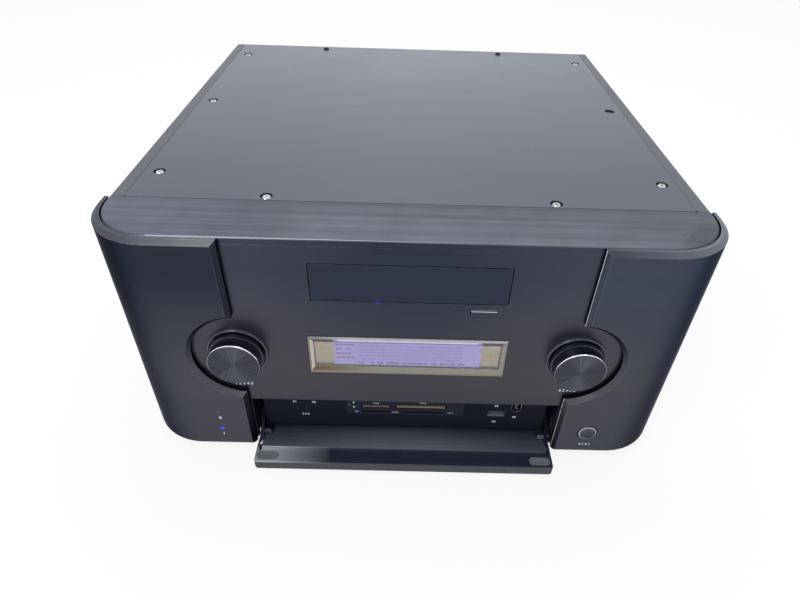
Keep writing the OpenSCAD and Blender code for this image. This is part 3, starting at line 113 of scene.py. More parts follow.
def length(name, description, millimetres, low=0.0):
    return FloatProperty(name=name, description=description, unit="LENGTH", min=low,
                         default=millimetres * MM, precision=5)


class ReceiverColours(bpy.types.PropertyGroup):
    """Colours of the receiver's finishes"""
    front: colour("Front", "Anodised front panel, tray front and door", 72, 72, 79)
    # painted shade: the front's tone darkened towards the top, where less light falls; the tray front takes
    # this tone too
    front_top: colour("Front, upper part", "The same anodising towards the top of the front", 50, 56, 71)
    cheek: colour("Cheeks", "Anodised cheeks", 79, 80, 86)
    # painted shade: the cheeks' tone darkened towards the top
    cheek_top: colour("Cheeks, upper part", "The same anodising towards the top of the cheeks", 47, 51, 64)
    plate: colour("Top plate", "Anodised plate over the front", 70, 74, 85)
    cover: colour("Cover", "Anodised top cover", 78, 83, 95)
    side: colour("Sides", "Anodised side panels", 70, 74, 84)
    lip: colour("Door lip", "Polished lip along the door's edge", 36, 44, 58)
    pan: colour("Door pan", "Raised inner face of the door", 33, 40, 56)
    steel: colour("Chassis", "Painted steel of the rear panel and the base", 38, 39, 44)
    zinc: colour("Zinc", "Zinc-plated steel", 150, 152, 156)
    bezel: colour("Display frame", "Frame round the display", 138, 131, 118)
    screen: colour("Screen", "Lit screen", 149, 134, 196)
    knob: colour("Knobs", "Lacquered body of the knobs", 18, 21, 31)
    collar: colour("Knob rings", "Rings that the knobs turn in", 50, 56, 72)
    light: colour("Lights", "Lit status lights", 8, 66, 255)
    marks: colour("Marks", "Printed marks", 205, 208, 214)
    floor: colour("Floor", "Floor under the receiver", 245, 245, 246)


class ReceiverSizes(bpy.types.PropertyGroup):
    """Sizes of what is added to the frame"""
    mark_h: length("Mark height", "Height of the printed numbers", 4.0, 0.0005)
    mark_t: length("Mark thickness", "Thickness of the printed marks", 0.04, 0.00001)
    rim: length("Knob rim", "Depth of the bright rim round a knob's face", 0.7, 0.0001)
    groove: length("Knob groove", "Depth of the groove round a knob", 0.9)
    meter_bars: IntProperty(name="Meter bars", description="Bars of the level meter on the display",
                            default=52, min=4, max=80)
    screen_glow: FloatProperty(name="Screen glow", description="Strength of the lit screen",
                               default=0.85, min=0, max=5)


# ---- Node helpers and shader groups ------------------------------------------------------------

SOCKET_KINDS = {float: "Float", int: "Int", tuple: "Vector"}


def plug(tree, value, socket):
    """Links an output to a socket, or sets the socket's own value."""
    if isinstance(value, bpy.types.NodeSocket):
        tree.links.new(value, socket)
    elif value is not None:
        socket.default_value = value


def fill(tree, node, values):
    """Links or sets several inputs of a node, by name or number; returns the node."""
    for key, value in values.items():
        plug(tree, value, node.inputs[key])
    return node


def add_node(tree, kind, inputs=None, **settings):
    node = tree.nodes.new(kind)
    for key, value in settings.items():
        setattr(node, key, value)
    return fill(tree, node, inputs or {})


def new_group(name, kind, inputs, outputs):
    """An empty node group; returns the tree, the outputs of its input node, and its output node.

    An input's kind follows from its value. One without a value is named after its kind."""
    tree = bpy.data.node_groups.new(name, kind)
    for socket, value in inputs.items():
        made = tree.interface.new_socket(
            socket, in_out="INPUT", socket_type="NodeSocket" + SOCKET_KINDS.get(type(value), socket))
        if value is not None:
            made.default_value = value
    for socket, socket_kind in outputs.items():
        tree.interface.new_socket(socket, in_out="OUTPUT", socket_type="NodeSocket" + socket_kind)
    return tree, tree.nodes.new("NodeGroupInput").outputs, tree.nodes.new("NodeGroupOutput")


def maths(tree, operation, *values, clamp=False):
    return add_node(tree, "ShaderNodeMath", dict(enumerate(values)), operation=operation,
                    use_clamp=clamp).outputs[0]


def vector_maths(tree, operation, *values):
    return add_node(tree, "ShaderNodeVectorMath", dict(enumerate(values)), operation=operation).outputs


def parts_of(tree, vector):
    return add_node(tree, "ShaderNodeSeparateXYZ", {0: vector}).outputs


def noise(tree, vector, scale, detail=2.0, roughness=0.5):
    return add_node(tree, "ShaderNodeTexNoise", {"Vector": vector, "Scale": scale, "Detail": detail,
                                                 "Roughness": roughness}).outputs["Fac"]


def spread(tree, value, *limits):
    """A value carried over from one range to another: from low, from high, to low, to high."""
    return add_node(tree, "ShaderNodeMapRange", dict(enumerate((value, *limits)))).outputs[0]


def make_brushed_grain():
    """Fine scratches drawn out along one direction, over broader and fainter bands."""
    tree, given, out = new_group("brushed_grain", "ShaderNodeTree", {
        "Vector": None, "Stretch": (8.0, 1800.0, 1800.0), "Contrast": 0.1},
        {"Shade": "Float", "Height": "Float"})
    drawn = vector_maths(tree, "MULTIPLY", given["Vector"], given["Stretch"])[0]
    fine = noise(tree, drawn, 1.0, 3.0, 0.7)
    bands = noise(tree, drawn, 0.3, 2.0)
    clouds = noise(tree, given["Vector"], 55.0, 3.0, 0.6)
    both = maths(tree, "ADD", maths(tree, "ADD", fine, bands), maths(tree, "MULTIPLY", clouds, 0.7))
    shift = maths(tree, "MULTIPLY", maths(tree, "SUBTRACT", both, 1.35), given["Contrast"])
    fill(tree, out, {"Shade": maths(tree, "ADD", shift, 1.0), "Height": fine})
    return tree


def make_edge_wear():
    """A rounded normal at the edges, and the mask of where they are rubbed bright, broken up by noise."""
    tree, given, out = new_group("edge_wear", "ShaderNodeTree", {
        "Vector": None, "Radius": 0.0005, "Amount": 0.6}, {"Mask": "Float", "Normal": "Vector"})
    rounded = add_node(tree, "ShaderNodeBevel", {"Radius": given["Radius"]}, samples=4).outputs["Normal"]
    flat = add_node(tree, "ShaderNodeNewGeometry").outputs["True Normal"]
    edge = spread(tree, vector_maths(tree, "DOT_PRODUCT", rounded, flat)["Value"], 0.995, 0.86, 0.0, 1.0)
    broken = spread(tree, noise(tree, given["Vector"], 260.0, 4.0, 0.65), 0.42, 0.62, 0.15, 1.0)
    worn = maths(tree, "MULTIPLY", maths(tree, "MULTIPLY", edge, broken), given["Amount"], clamp=True)
    fill(tree, out, {"Mask": worn, "Normal": rounded})
    return tree


def make_handling():
    """Soft cloudy smudges and a sparse dust of small specks."""
    tree, given, out = new_group("handling", "ShaderNodeTree", {
        "Vector": None, "Smudge Scale": 18.0, "Speck Scale": 900.0}, {"Smudge": "Float", "Dust": "Float"})
    clouds = noise(tree, given["Vector"], given["Smudge Scale"], 4.0, 0.6)
    specks = add_node(tree, "ShaderNodeTexVoronoi", {
        "Vector": given["Vector"], "Scale": given["Speck Scale"]}).outputs["Distance"]
    near = spread(tree, specks, 0.05, 0.12, 1.0, 0.0)
    sparse = spread(tree, noise(tree, given["Vector"], 120.0, 1.0), 0.55, 0.62, 0.0, 1.0)
    fill(tree, out, {"Smudge": spread(tree, clouds, 0.35, 0.7, 0.0, 1.0),
                     "Dust": maths(tree, "MULTIPLY", near, sparse)})
    return tree


GROUPS = {}


def group(tree, maker, **values):
    """Places one of the shared groups in a material, with its own values."""
    if maker not in GROUPS:
        GROUPS[maker] = maker()
    node = tree.nodes.new("ShaderNodeGroup")
    node.node_tree = GROUPS[maker]
    return fill(tree, node, values).outputs


# ---- Materials ---------------------------------------------------------------------------------

def new_material(name):
    """A material with a Principled shader; returns it, its tree, the shader and object coordinates."""
    material = bpy.data.materials.new(name)
    material.use_nodes = True
    tree = material.node_tree
    shader = tree.nodes["Principled BSDF"]
    return material, tree, shader, tree.nodes.new("ShaderNodeTexCoord").outputs["Object"]


def mixed(tree, share, first, second, blend_type="MIX"):
    """Two colours mixed; each is a node's output or three plain numbers."""
    first, second = (c if isinstance(c, bpy.types.NodeSocket) else (*c, 1) for c in (first, second))
    return add_node(tree, "ShaderNodeMix", {0: share, 6: first, 7: second}, data_type="RGBA",
                    blend_type=blend_type).outputs[2]


def tinted(tree, rgb, factor):
    """A colour made lighter and darker by a factor that varies over the surface."""
    return mixed(tree, 1.0, rgb, factor, "MULTIPLY")


def smudged(tree, place, roughness, less, more):
    """A roughness that is a little less or more where the surface has been handled."""
    touch = group(tree, make_handling, Vector=place)
    return spread(tree, touch["Smudge"], 0.0, 1.0, roughness - less, roughness + more)


def bumped(tree, height, strength, distance, normal=None):
    return add_node(tree, "ShaderNodeBump", {"Strength": strength, "Distance": distance,
                                             "Height": height, "Normal": normal}).outputs["Normal"]


def turned_about(tree, axis):
    return add_node(tree, "ShaderNodeTangent", direction_type="RADIAL", axis=axis).outputs["Tangent"]


def painted_gradient(tree, place, rgb, fade):
    """A tone painted over to another along one axis, as painted light and shade; its argument is (axis,
    from, to, the other tone).
    """
    axis, start, end, other = fade
    share = spread(tree, parts_of(tree, place)[axis], start, end, 0.0, 1.0)
    return mixed(tree, share, rgb, tone(other))


def painted_flank_tone(tree, place, rgb, near, far, gain, foot, head):
    """A tone painted lighter or darker by gain on both sides of the middle of the case, the more so from
    foot to head, as painted light and shade.
    """
    parts = parts_of(tree, place)
    away = spread(tree, maths(tree, "ABSOLUTE", parts["X"]), near, far, 0.0, 1.0)
    share = maths(tree, "MULTIPLY", away, spread(tree, parts["Z"], foot, head, 0.0, 1.0))
    return tinted(tree, rgb, mixed(tree, share, (1.0, 1.0, 1.0), gain))


def brushed_metal(name, rgb, stretch, roughness=0.34, contrast=0.16, metallic=0.0, tangent=None,
                  wear=0.5, wear_rgb=(0.5, 0.52, 0.56), fade=None, painted_flank=None):
    """Anodised aluminium with drawn scratches, rubbed edges and faint smudges; optional painted gradients
    put painted light and shade into its tone.
    """
    material, tree, shader, place = new_material(name)
    grain = group(tree, make_brushed_grain, Vector=place, Stretch=stretch, Contrast=contrast)
    worn = group(tree, make_edge_wear, Vector=place, Amount=wear)
    shade = painted_gradient(tree, place, tone(rgb), fade) if fade else tone(rgb)
    if painted_flank:
        shade = painted_flank_tone(tree, place, shade, *painted_flank)
    fill(tree, shader, {
        "Base Color": mixed(tree, worn["Mask"], tinted(tree, shade, grain["Shade"]), wear_rgb),
        "Roughness": smudged(tree, place, roughness, 0.03, 0.05),
        "Normal": bumped(tree, grain["Height"], 0.12, 0.00003, worn["Normal"]),
        "Metallic": metallic})
    if metallic > 0.5:
        fill(tree, shader, {"Specular Tint": (0.18, 0.2, 0.26, 1)})
    if tangent:
        fill(tree, shader, {"Anisotropic": 0.8, "Tangent": turned_about(tree, tangent)})
    return material


def powder_coat(name, rgb, roughness=0.55, bump=0.25, wear=0.25):
    """Painted or powder-coated steel with a fine pebbled surface."""
    material, tree, shader, place = new_material(name)
    worn = group(tree, make_edge_wear, Vector=place, Amount=wear)
    pebbles = noise(tree, place, 1400.0, 2.0)
    paint = tinted(tree, tone(rgb), spread(tree, pebbles, 0.3, 0.7, 0.92, 1.08))
    fill(tree, shader, {"Base Color": mixed(tree, worn["Mask"], paint, (0.35, 0.35, 0.37)),
                        "Roughness": smudged(tree, place, roughness, 0.05, 0.08),
                        "Normal": bumped(tree, pebbles, bump, 0.00006)})
    return material


def plated_metal(name, rgb, roughness=0.28, cloud=0.12, fade=None):
    """Plated or polished metal, a little uneven in tone and gloss; an optional painted gradient puts
    painted shade into its tone.
    """
    material, tree, shader, place = new_material(name)
    shade = painted_gradient(tree, place, tone(rgb), fade) if fade else tone(rgb)
    clouds = spread(tree, noise(tree, place, 60.0, 5.0, 0.65), 0.3, 0.7, 1 - cloud, 1 + cloud)
    fill(tree, shader, {"Base Color": tinted(tree, shade, clouds),
                        "Roughness": smudged(tree, place, roughness, 0.06, 0.1), "Metallic": 1.0})
    return material


def moulded_plastic(name, rgb, roughness=0.45, grain=1800.0, bump=0.2, coat=0.0, gloss=0.5):
    """Moulded plastic with a fine spark-eroded texture."""
    material, tree, shader, place = new_material(name)
    texture = noise(tree, place, grain, 2.0, 0.6)
    fill(tree, shader, {"Base Color": tinted(tree, tone(rgb), spread(tree, texture, 0.3, 0.7, 0.93, 1.07)),
                        "Roughness": smudged(tree, place, roughness, 0.05, 0.08),
                        "Normal": bumped(tree, texture, bump, 0.00004), "Coat Weight": coat,
                        "Specular IOR Level": gloss})
    return material


def glowing(name, rgb, strength):
    """A lit lens, a little uneven in brightness."""
    material, tree, shader, place = new_material(name)
    uneven = spread(tree, noise(tree, place, 45.0, 2.0), 0.3, 0.7, 0.94, 1.06)
    fill(tree, shader, {"Emission Color": tinted(tree, tone(rgb), uneven), "Emission Strength": strength,
                        "Base Color": tinted(tree, (0.02, 0.02, 0.03), uneven),
                        "Specular IOR Level": 0.2, "Roughness": 0.4})
    return material


def clear_glass(name):
    """The clear pane over the display, with a trace of dust."""
    material, tree, shader, place = new_material(name)
    touch = group(tree, make_handling, Vector=place)
    fill(tree, shader, {"Roughness": spread(tree, touch["Smudge"], 0.0, 1.0, 0.02, 0.08),
                        "Alpha": spread(tree, touch["Dust"], 0.0, 1.0, 0.1, 0.3),
                        "Base Color": (0.75, 0.78, 0.85, 1), "IOR": 1.5})
    return material


def spun_face(name, rgb, centre):
    """A turned face: rings from the lathe tool, with painted streaks and wedges of reflected light in its
    colour.
    """
    material, tree, shader, place = new_material(name)
    shift = vector_maths(tree, "SUBTRACT", place, centre)[0]
    rings = noise(tree, vector_maths(tree, "LENGTH", shift)["Value"], 2400.0, 3.0, 0.7)
    parts = parts_of(tree, shift)
    angle = maths(tree, "ARCTAN2", parts["Z"], parts["X"])
    rays = noise(tree, angle, 5.0, 2.0, 0.6)
    brightest, wedge_pairs = 1.45, 2.0          # the angle of the painted bright wedge, and how many there are
    painted_wedges = maths(tree, "COSINE", maths(
        tree, "MULTIPLY", maths(tree, "SUBTRACT", angle, brightest), wedge_pairs))
    shade = maths(tree, "MULTIPLY", spread(tree, rings, 0.3, 0.7, 0.85, 1.15),
                  maths(tree, "MULTIPLY", spread(tree, rays, 0.35, 0.65, 0.7, 1.3),
                        spread(tree, painted_wedges, -0.2, 1.0, 0.75, 1.35)))
    fill(tree, shader, {"Base Color": tinted(tree, tone(rgb), shade),
                        "Normal": bumped(tree, rings, 0.25, 0.00003), "Metallic": 0.9, "Roughness": 0.3,
                        "Anisotropic": 0.8, "Tangent": turned_about(tree, "Y")})
    return material


MADE = {}


def finishes():
    """Every finish by name: its maker, its tone, and how it differs from the maker's own values."""
    c, sizes = bpy.context.scene.receiver_colours, bpy.context.scene.receiver_sizes
    metal, plated, plastic, lit = brushed_metal, plated_metal, moulded_plastic, glowing
    along_x, along_y, along_z = (9.0, 1700.0, 1700.0), (1700.0, 9.0, 1700.0), (1700.0, 1700.0, 9.0)
    round_z, long_x = (9.0, 9.0, 1700.0), (6.0, 620.0, 620.0)
    foot, head = UNDERSIDE_Z + 0.04, UNDERSIDE_Z + 0.175
    pan_back, pan_front = FACE_Y + 0.012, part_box("port_door")[0].y + 0.012
    knob_z = KNOBS["left"].z
    return {
        # front_metal: painted shade darkens its top, and painted light lightens both sides of the middle
        "front_metal": (metal, c.front, along_x, dict(
            metallic=0.9, wear=0.2, fade=("Z", foot + 0.035, head, c.front_top),
            painted_flank=(0.02, 0.11, (1.65, 1.5, 1.34), foot, foot + 0.12))),
        # the tray front takes the front's painted top shade as its tone
        "tray_metal": (metal, c.front_top, along_x, dict(metallic=0.9, wear=0.1)),
        # painted shade: the cheeks darker towards the top, the left more than the right
        "left_cheek_metal": (metal, c.cheek, round_z, dict(
            metallic=0.9, fade=("Z", foot + 0.045, head, c.cheek_top))),
        "right_cheek_metal": (metal, c.cheek, round_z, dict(
            metallic=0.9, fade=("Z", foot + 0.045, head, (66, 72, 86)))),
        "cheek_shade": (metal, (44, 47, 58), along_z, dict(metallic=0.9)),
        # painted light and shade: the left chamfer lit, with bright edge wear as a painted highlight,
        # darker towards its outer end; the right chamfer shaded, lighter towards its outer end
        "left_chamfer": (metal, (91, 93, 97), round_z, 0.55, 0.4, 0.1, dict(
            wear=0.9, wear_rgb=(0.6, 0.61, 0.63), fade=("X", -0.135, -0.178, (47, 52, 62)))),
        "right_chamfer": (metal, (43, 49, 61), round_z, 0.55, 0.4, 0.1, dict(
            wear=0.15, wear_rgb=(0.2, 0.21, 0.23), fade=("X", 0.13, 0.2, (96, 100, 110)))),
        # painted highlight along the right cheek's inner edge
        "cut_edge": (metal, (214, 217, 224), along_z, 0.4, 0.1, 0.1, dict(wear=0)),
        # painted highlight: the plate lighter towards its left end
        "plate_metal": (metal, c.plate, long_x, 0.32, 0.8, 0.45, "X", 0, dict(
            fade=("X", -0.09, -0.16, (88, 92, 108)))),
        # painted highlight on the plate's front edge, brightest at the left
        "plate_edge": (metal, (176, 179, 186), along_x, 0.35, 0.1, 0.2, dict(
            wear=0, fade=("X", -0.09, 0.05, (70, 74, 86)))),
        # painted highlight on the bevelled edges of the power and eject buttons
        "button_edge": (plated, (206, 210, 218), 0.3),
        # painted light: the cover lighter towards the back and darker towards the sides
        "cover_metal": (metal, c.cover, along_x, 0.3, 0.14, dict(
            wear=0, fade=("Y", -0.1, 0.2, (102, 109, 121)),
            painted_flank=(0.02, 0.2, (0.74, 0.76, 0.8), 0.0, 0.1))),
        # painted shade: the cover's edges darkened as the shadow in its seams
        "cover_edge": (metal, (34, 37, 46), along_y, 0.4, dict(wear=0)),
        "side_metal": (metal, c.side, along_y, 0.4, 0.12, dict(wear=0.2)),
        # painted shade: the pan darker towards the hinge and towards its ends, under the overhang
        "pan_metal": (metal, c.pan, along_x, 0.35, 0.35, 0.2, dict(
            wear=0, fade=("Y", pan_back, pan_front, (114, 119, 128)),
            painted_flank=(0.02, 0.1, (0.55, 0.58, 0.64), -0.1, 0.0))),
        # painted reflection: the lip bright towards its left end
        "lip_gloss": (metal, c.lip, along_x, 0.3, 0.5, 0.1, dict(
            wear=0, fade=("X", -0.06, -0.11, (160, 162, 167)))),
        "tip_metal": (metal, (82, 82, 85), along_z, 0.42, 0.3, 0.6, dict(wear=0.4)),
        "arm_metal": (metal, (20, 23, 31), along_y, 0.4, dict(
            metallic=0.9, wear=0.1, wear_rgb=(0.2, 0.2, 0.22))),
        # painted light: the foot blocks darker on the left than on the right
        "foot_block": (metal, (42, 46, 58), along_x, 0.4, 0.3, 0.9, dict(
            fade=("X", -0.1, 0.1, (74, 78, 88)))),
        # painted light: a pale blue-grey standing in for light in the base pan's dark inside
        "pan_inside": (powder_coat, (120, 132, 168)),
        "black_steel": (powder_coat, c.steel),
        "zinc_steel": (plated, c.zinc),
        "silver_screw": (plated, (205, 206, 208), 0.22),
        "black_screw": (plated, (40, 41, 45), 0.35),
        # painted light and shade: each bevel of the display frame has its own tone by the way it faces, the
        # left lit and the right shaded, with painted gradients
        "frame_metal": (metal, c.bezel, along_x, 0.25, 0.1, 0.9),
        "frame_left": (metal, (190, 182, 166), along_z, 0.2, 0.1, 0.9),
        "frame_right": (metal, (140, 137, 130), along_z, 0.2, 0.1, 0.9),
        "frame_brow": (metal, (124, 124, 124), along_x, 0.15, 0.3, 0.9, dict(
            fade=("X", -0.075, -0.045, (172, 171, 168)))),
        "frame_bottom": (metal, (112, 86, 52), along_x, 0.15, 0.3, 0.9, dict(
            fade=("X", -0.07, -0.02, (140, 136, 126)))),
        "frame_top": (metal, (206, 197, 232), along_x, 0.1, 0.3, 0.9, dict(
            wear=0.2, painted_flank=(0.05, 0.056, (0.2, 0.21, 0.2), -0.2, -0.1))),
        "module_metal": (metal, (168, 150, 120), along_x, 0.3, 0.5, 0.9),
        "display_glass": (clear_glass,),
        "screen_glow": (lit, c.screen, sizes.screen_glow),
        "circuit_board": (plastic, (24, 66, 40), 0.35),
        "knob_lacquer": (plastic, c.knob, 0.16, 900.0, 0.03, 0.6),
        "knob_collar": (plastic, c.collar, 0.2, 1200.0, 0.04, 0.5),
        "bright_steel": (plated, (200, 202, 206), 0.2),
        # the rim's plating is bright; its painted gradient darkens it below the knob's middle as painted
        # shade
        "bright_rim": (plated, (245, 246, 248), 0.12, 0.04, ("Z", knob_z, knob_z - 0.012, (70, 73, 84))),
        "black_plastic": (plastic, (24, 25, 28)),
        "socket_black": (plastic, (15, 20, 34), 0.6, 1500.0, 0.1, dict(gloss=0.15)),
        "reader_black": (plastic, (27, 33, 48), 0.5, dict(gloss=0.2)),
        "button_black": (metal, c.cheek, along_x, dict(metallic=0.9)),
        "blue_light": (lit, c.light, 1.6),
        "tray_light": (lit, (44, 54, 205), 0.6),
        "green_light": (lit, (176, 226, 176), 1.0),
        "dark_light": (plastic, (74, 72, 124), 0.5, dict(gloss=0.2)),
        "white_plastic": (plastic, (216, 212, 196), 0.5),
        "rubber": (plastic, (26, 26, 28), 0.8, 2500.0, 0.4),
        "foot_metal": (plated, (120, 122, 128), 0.3),
        "brass": (plated, (190, 158, 92), 0.25),
        "tongue_grey": (plastic, (104, 108, 118), 0.5),
        "contact_gold": (metal, (246, 208, 164), along_y, 0.4, 0.2, 0.1, dict(wear=0)),
        "bare_aluminium": (metal, (176, 178, 182), along_y, 0.35),
        "print": (plastic, c.marks, 0.5),
        "meter_ink": (lit, (92, 78, 168), 0.8),
        "row_ink": (lit, (104, 34, 104), 0.7),
        "foot_ink": (lit, (38, 32, 92), 0.5),
        # painted shade: a darker black in the card slots' insides
        "slot_black": (plastic, (14, 15, 20), 0.7, dict(gloss=0.1)),
        "strike_metal": (metal, (104, 106, 112), along_x, 0.6, 0.4, dict(wear=0)),
        # painted shade: the pads' bores darker than their tops
        "strike_bore": (metal, (78, 81, 90), along_x, 0.6, dict(wear=0)),
        "strike_screw": (metal, (112, 114, 120), along_x, 0.5, dict(wear=0)),
    }


def material(name):
    """A finish by name, made the first time that it is asked for."""
    if name not in MADE:
        maker, *given = finishes()[name]
        options = given.pop() if given and isinstance(given[-1], dict) else {}
        MADE[name] = maker(name, *given, **options)
    return MADE[name]


def dress(finish, *nodes):
    """Gives CAD nodes a finish."""
    for name in nodes:
        mesh = NODES[name].data
        mesh.materials.clear()
        mesh.materials.append(material(finish))
        mesh.update()


# ---- Mesh helpers ------------------------------------------------------------------------------

MOSTLY, STRAIGHT = 0.5, 0.9      # how much of a face's normal lies along an axis that it looks along


def linked(name, data):
    obj = bpy.data.objects.new(name, data)
    bpy.context.scene.collection.objects.link(obj)
    return obj


def baked(name, obj, *tools):
    """The mesh of an object with its modifiers applied. The object and its tools are removed."""
    bpy.context.view_layer.update()
    mesh = bpy.data.meshes.new_from_object(obj.evaluated_get(bpy.context.evaluated_depsgraph_get()))
    spent = [part.data for part in (obj, *tools)]
    for part in (obj, *tools):
        bpy.data.objects.remove(part)
    bpy.data.batch_remove(spent)
    mesh.name = name
    return mesh


def add_piece(name, mesh, body, finishes=()):
    """Links a finished mesh as a piece that rides on a body."""
    obj = linked(name, mesh)
    if finishes:
        mesh.polygons.foreach_set("use_smooth", [False] * len(mesh.polygons))
    for finish in finishes:
        mesh.materials.append(material(finish))
    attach(obj, body)
    return obj


def merged(node):
    """A CAD node's mesh with its doubles merged."""
    shape = bmesh.new()
    shape.from_mesh(NODES[node].data)
    bmesh.ops.remove_doubles(shape, verts=shape.verts, dist=1e-6)
    return shape


def mesh_from(name, shape):
    """Turns a bmesh into a mesh, with its normals outwards."""
    bmesh.ops.remove_doubles(shape, verts=shape.verts, dist=1e-7)
    bmesh.ops.recalc_face_normals(shape, faces=shape.faces)
    mesh = bpy.data.meshes.new(name)
    shape.to_mesh(mesh)
    shape.free()
    return mesh


def dressed_copy(node, body, finishes, choose, sharp=30, broken=None):
    """A merged copy of a CAD node whose faces get their finishes from choose(middle, normal).

    broken is (width, finish index, test(edge)): the edges that pass the test get a real bevel."""
    shape = merged(node)
    for face in shape.faces:
        face.material_index = choose(face.calc_center_median(), face.normal)
    if broken:
        width, finish, test = broken
        bmesh.ops.dissolve_limit(shape, angle_limit=math.radians(0.3), verts=shape.verts,
                                 edges=shape.edges, delimit={"MATERIAL"})
        edges = [e for e in shape.edges if len(e.link_faces) == 2 and test(e)]
        if not edges:
            raise RuntimeError(f"{node} has no edge to break")
        bmesh.ops.bevel(shape, geom=edges, offset=width, segments=1, profile=0.5, affect="EDGES",
                        material=finish, offset_type="OFFSET", clamp_overlap=True)
        bmesh.ops.triangulate(shape, faces=shape.faces)
    mesh = bpy.data.meshes.new(node + "_dressed")
    shape.to_mesh(mesh)
    shape.free()
    if "custom_normal" in mesh.attributes:
        mesh.attributes.remove(mesh.attributes["custom_normal"])
    piece = add_piece(node + "_dressed", mesh, body, finishes)
    keep_angles(mesh, sharp)
    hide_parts(node)
    return piece


def block(low, high, radius=0.0):
    """A block whose four edges along y are rounded, as a loose object."""
    shape = bmesh.new()
    bmesh.ops.create_cube(shape, size=1)
    for vert in shape.verts:
        vert.co = Vector(low[i] + (vert.co[i] + 0.5) * (high[i] - low[i]) for i in range(3))
    if radius:
        along = [e for e in shape.edges if abs(e.verts[0].co.y - e.verts[1].co.y) > 1e-6]
        bmesh.ops.bevel(shape, geom=along, offset=radius, segments=4, profile=0.5, affect="EDGES")
    return linked("block", mesh_from("block", shape))


def carved(name, solids, hollows):
    """The mesh of joined blocks with hollows cut out of them, each (low, high, corner radius)."""
    base, *others = [block(*part) for part in (*solids, *hollows)]
    for k, other in enumerate(others):
        cut = base.modifiers.new("cut", "BOOLEAN")
        cut.operation = "UNION" if k < len(solids) - 1 else "DIFFERENCE"
        cut.solver = "EXACT"
        cut.object = other
    return baked(name, base, *others)


def dome(name, centre, radius, back, front, body, finish, rise=0.35 * MM):
    """A small domed lens between two distances in front of the panel."""
    curve = [(radius * math.cos(a), front - rise + rise * math.sin(a), 0)
             for a in (math.radians(d) for d in range(0, 90, 15))]
    mesh = mesh_from(name, lathe([(0, back, 0), (radius, back, 0), *curve, (0, front, 0)], centre, 32))
    piece = add_piece(name, mesh, body, [finish])
    keep_angles(mesh, 40)
    return piece


def lathe(profile, centre, steps=128):
    """Turns (radius, distance in front of the panel, finish index) points round an axis along y.

    The index of a point is that of the band that follows it. The profile starts and ends on the axis."""
    shape = bmesh.new()
    rings = []
    for radius, out, _ in profile:
        if radius == 0:
            rings.append([shape.verts.new((centre.x, FACE_Y - out, centre.z))])
            continue
        rings.append([shape.verts.new((centre.x + radius * math.cos(a), FACE_Y - out,
                                       centre.z + radius * math.sin(a)))
                      for a in (2 * math.pi * i / steps for i in range(steps))])
    for ring, after, (_, _, finish) in zip(rings, rings[1:], profile):
        for i in range(steps):
            j = (i + 1) % steps
            corners = dict.fromkeys((ring[i % len(ring)], ring[j % len(ring)],
                                     after[j % len(after)], after[i % len(after)]))
            face = shape.faces.new(list(corners))
            face.material_index = finish
    return shape


def keep_angles(mesh, degrees=30):
    """Smooth shading that keeps edges sharper than an angle."""
    mesh.polygons.foreach_set("use_smooth", [True] * len(mesh.polygons))
    mesh.set_sharp_from_angle(angle=math.radians(degrees))


# ---- Geometry Nodes ----------------------------------------------------------------------------

def new_geometry(name, inputs):
    return new_group(name, "GeometryNodeTree", {**inputs, "Material": None}, {"Geometry": "Geometry"})


def finish_tree(tree, geometry, given, out):
    """Realizes the instances and sets their material, as the last two nodes; returns the tree."""
    real = add_node(tree, "GeometryNodeRealizeInstances", {"Geometry": geometry}).outputs["Geometry"]
    paint = add_node(tree, "GeometryNodeSetMaterial", {"Geometry": real, "Material": given["Material"]})
    fill(tree, out, {"Geometry": paint.outputs["Geometry"]})
    return tree


def from_middle(tree, place, count):
    """A place in a row, counted from the row's middle."""
    half = maths(tree, "DIVIDE", maths(tree, "SUBTRACT", count, 1.0), 2.0)
    return maths(tree, "SUBTRACT", place, half)


def spaced_points(tree, given, count, step):
    """Points in steps round the centre."""
    place = vector_maths(tree, "ADD", step, given["Centre"])[0]
    return add_node(tree, "GeometryNodePoints", {"Count": count, "Position": place}).outputs[0]


def make_block_grid():
    """Small blocks in columns along x and rows along z, with some left out and some shorter."""
    tree, given, out = new_geometry("block_grid", {
        "Columns": 4, "Rows": 1, "Pitch": (0.002, 0.0, 0.002), "Block": (0.001, 0.001, 0.001),
        "Centre": (0.0, 0.0, 0.0), "Left Out": 0.0, "Shortest": (1.0, 1.0, 1.0), "Seed": 1})
    columns, rows = given["Columns"], given["Rows"]
    index = add_node(tree, "GeometryNodeInputIndex").outputs[0]
    step = add_node(tree, "ShaderNodeCombineXYZ", {
        "X": from_middle(tree, maths(tree, "MODULO", index, columns), columns),
        "Z": from_middle(tree, maths(tree, "FLOOR", maths(tree, "DIVIDE", index, columns)), rows)})
    points = spaced_points(tree, given, maths(tree, "MULTIPLY", columns, rows),
                           vector_maths(tree, "MULTIPLY", step.outputs[0], given["Pitch"])[0])
    chance = add_node(tree, "FunctionNodeRandomValue", {"Seed": given["Seed"]}).outputs[1]
    dropped = add_node(tree, "FunctionNodeCompare", {0: chance, 1: given["Left Out"]},
                       operation="LESS_THAN").outputs[0]
    thinned = add_node(tree, "GeometryNodeDeleteGeometry", {"Geometry": points, "Selection": dropped})
    block = add_node(tree, "GeometryNodeMeshCube", {"Size": given["Block"]})
    vary = add_node(tree, "FunctionNodeRandomValue", {
        0: given["Shortest"], 1: (1.0, 1.0, 1.0), "Seed": given["Seed"]}, data_type="FLOAT_VECTOR")
    blocks = add_node(tree, "GeometryNodeInstanceOnPoints", {
        "Points": thinned.outputs[0], "Instance": block.outputs["Mesh"], "Scale": vary.outputs[0]})
    return finish_tree(tree, blocks.outputs[0], given, out)


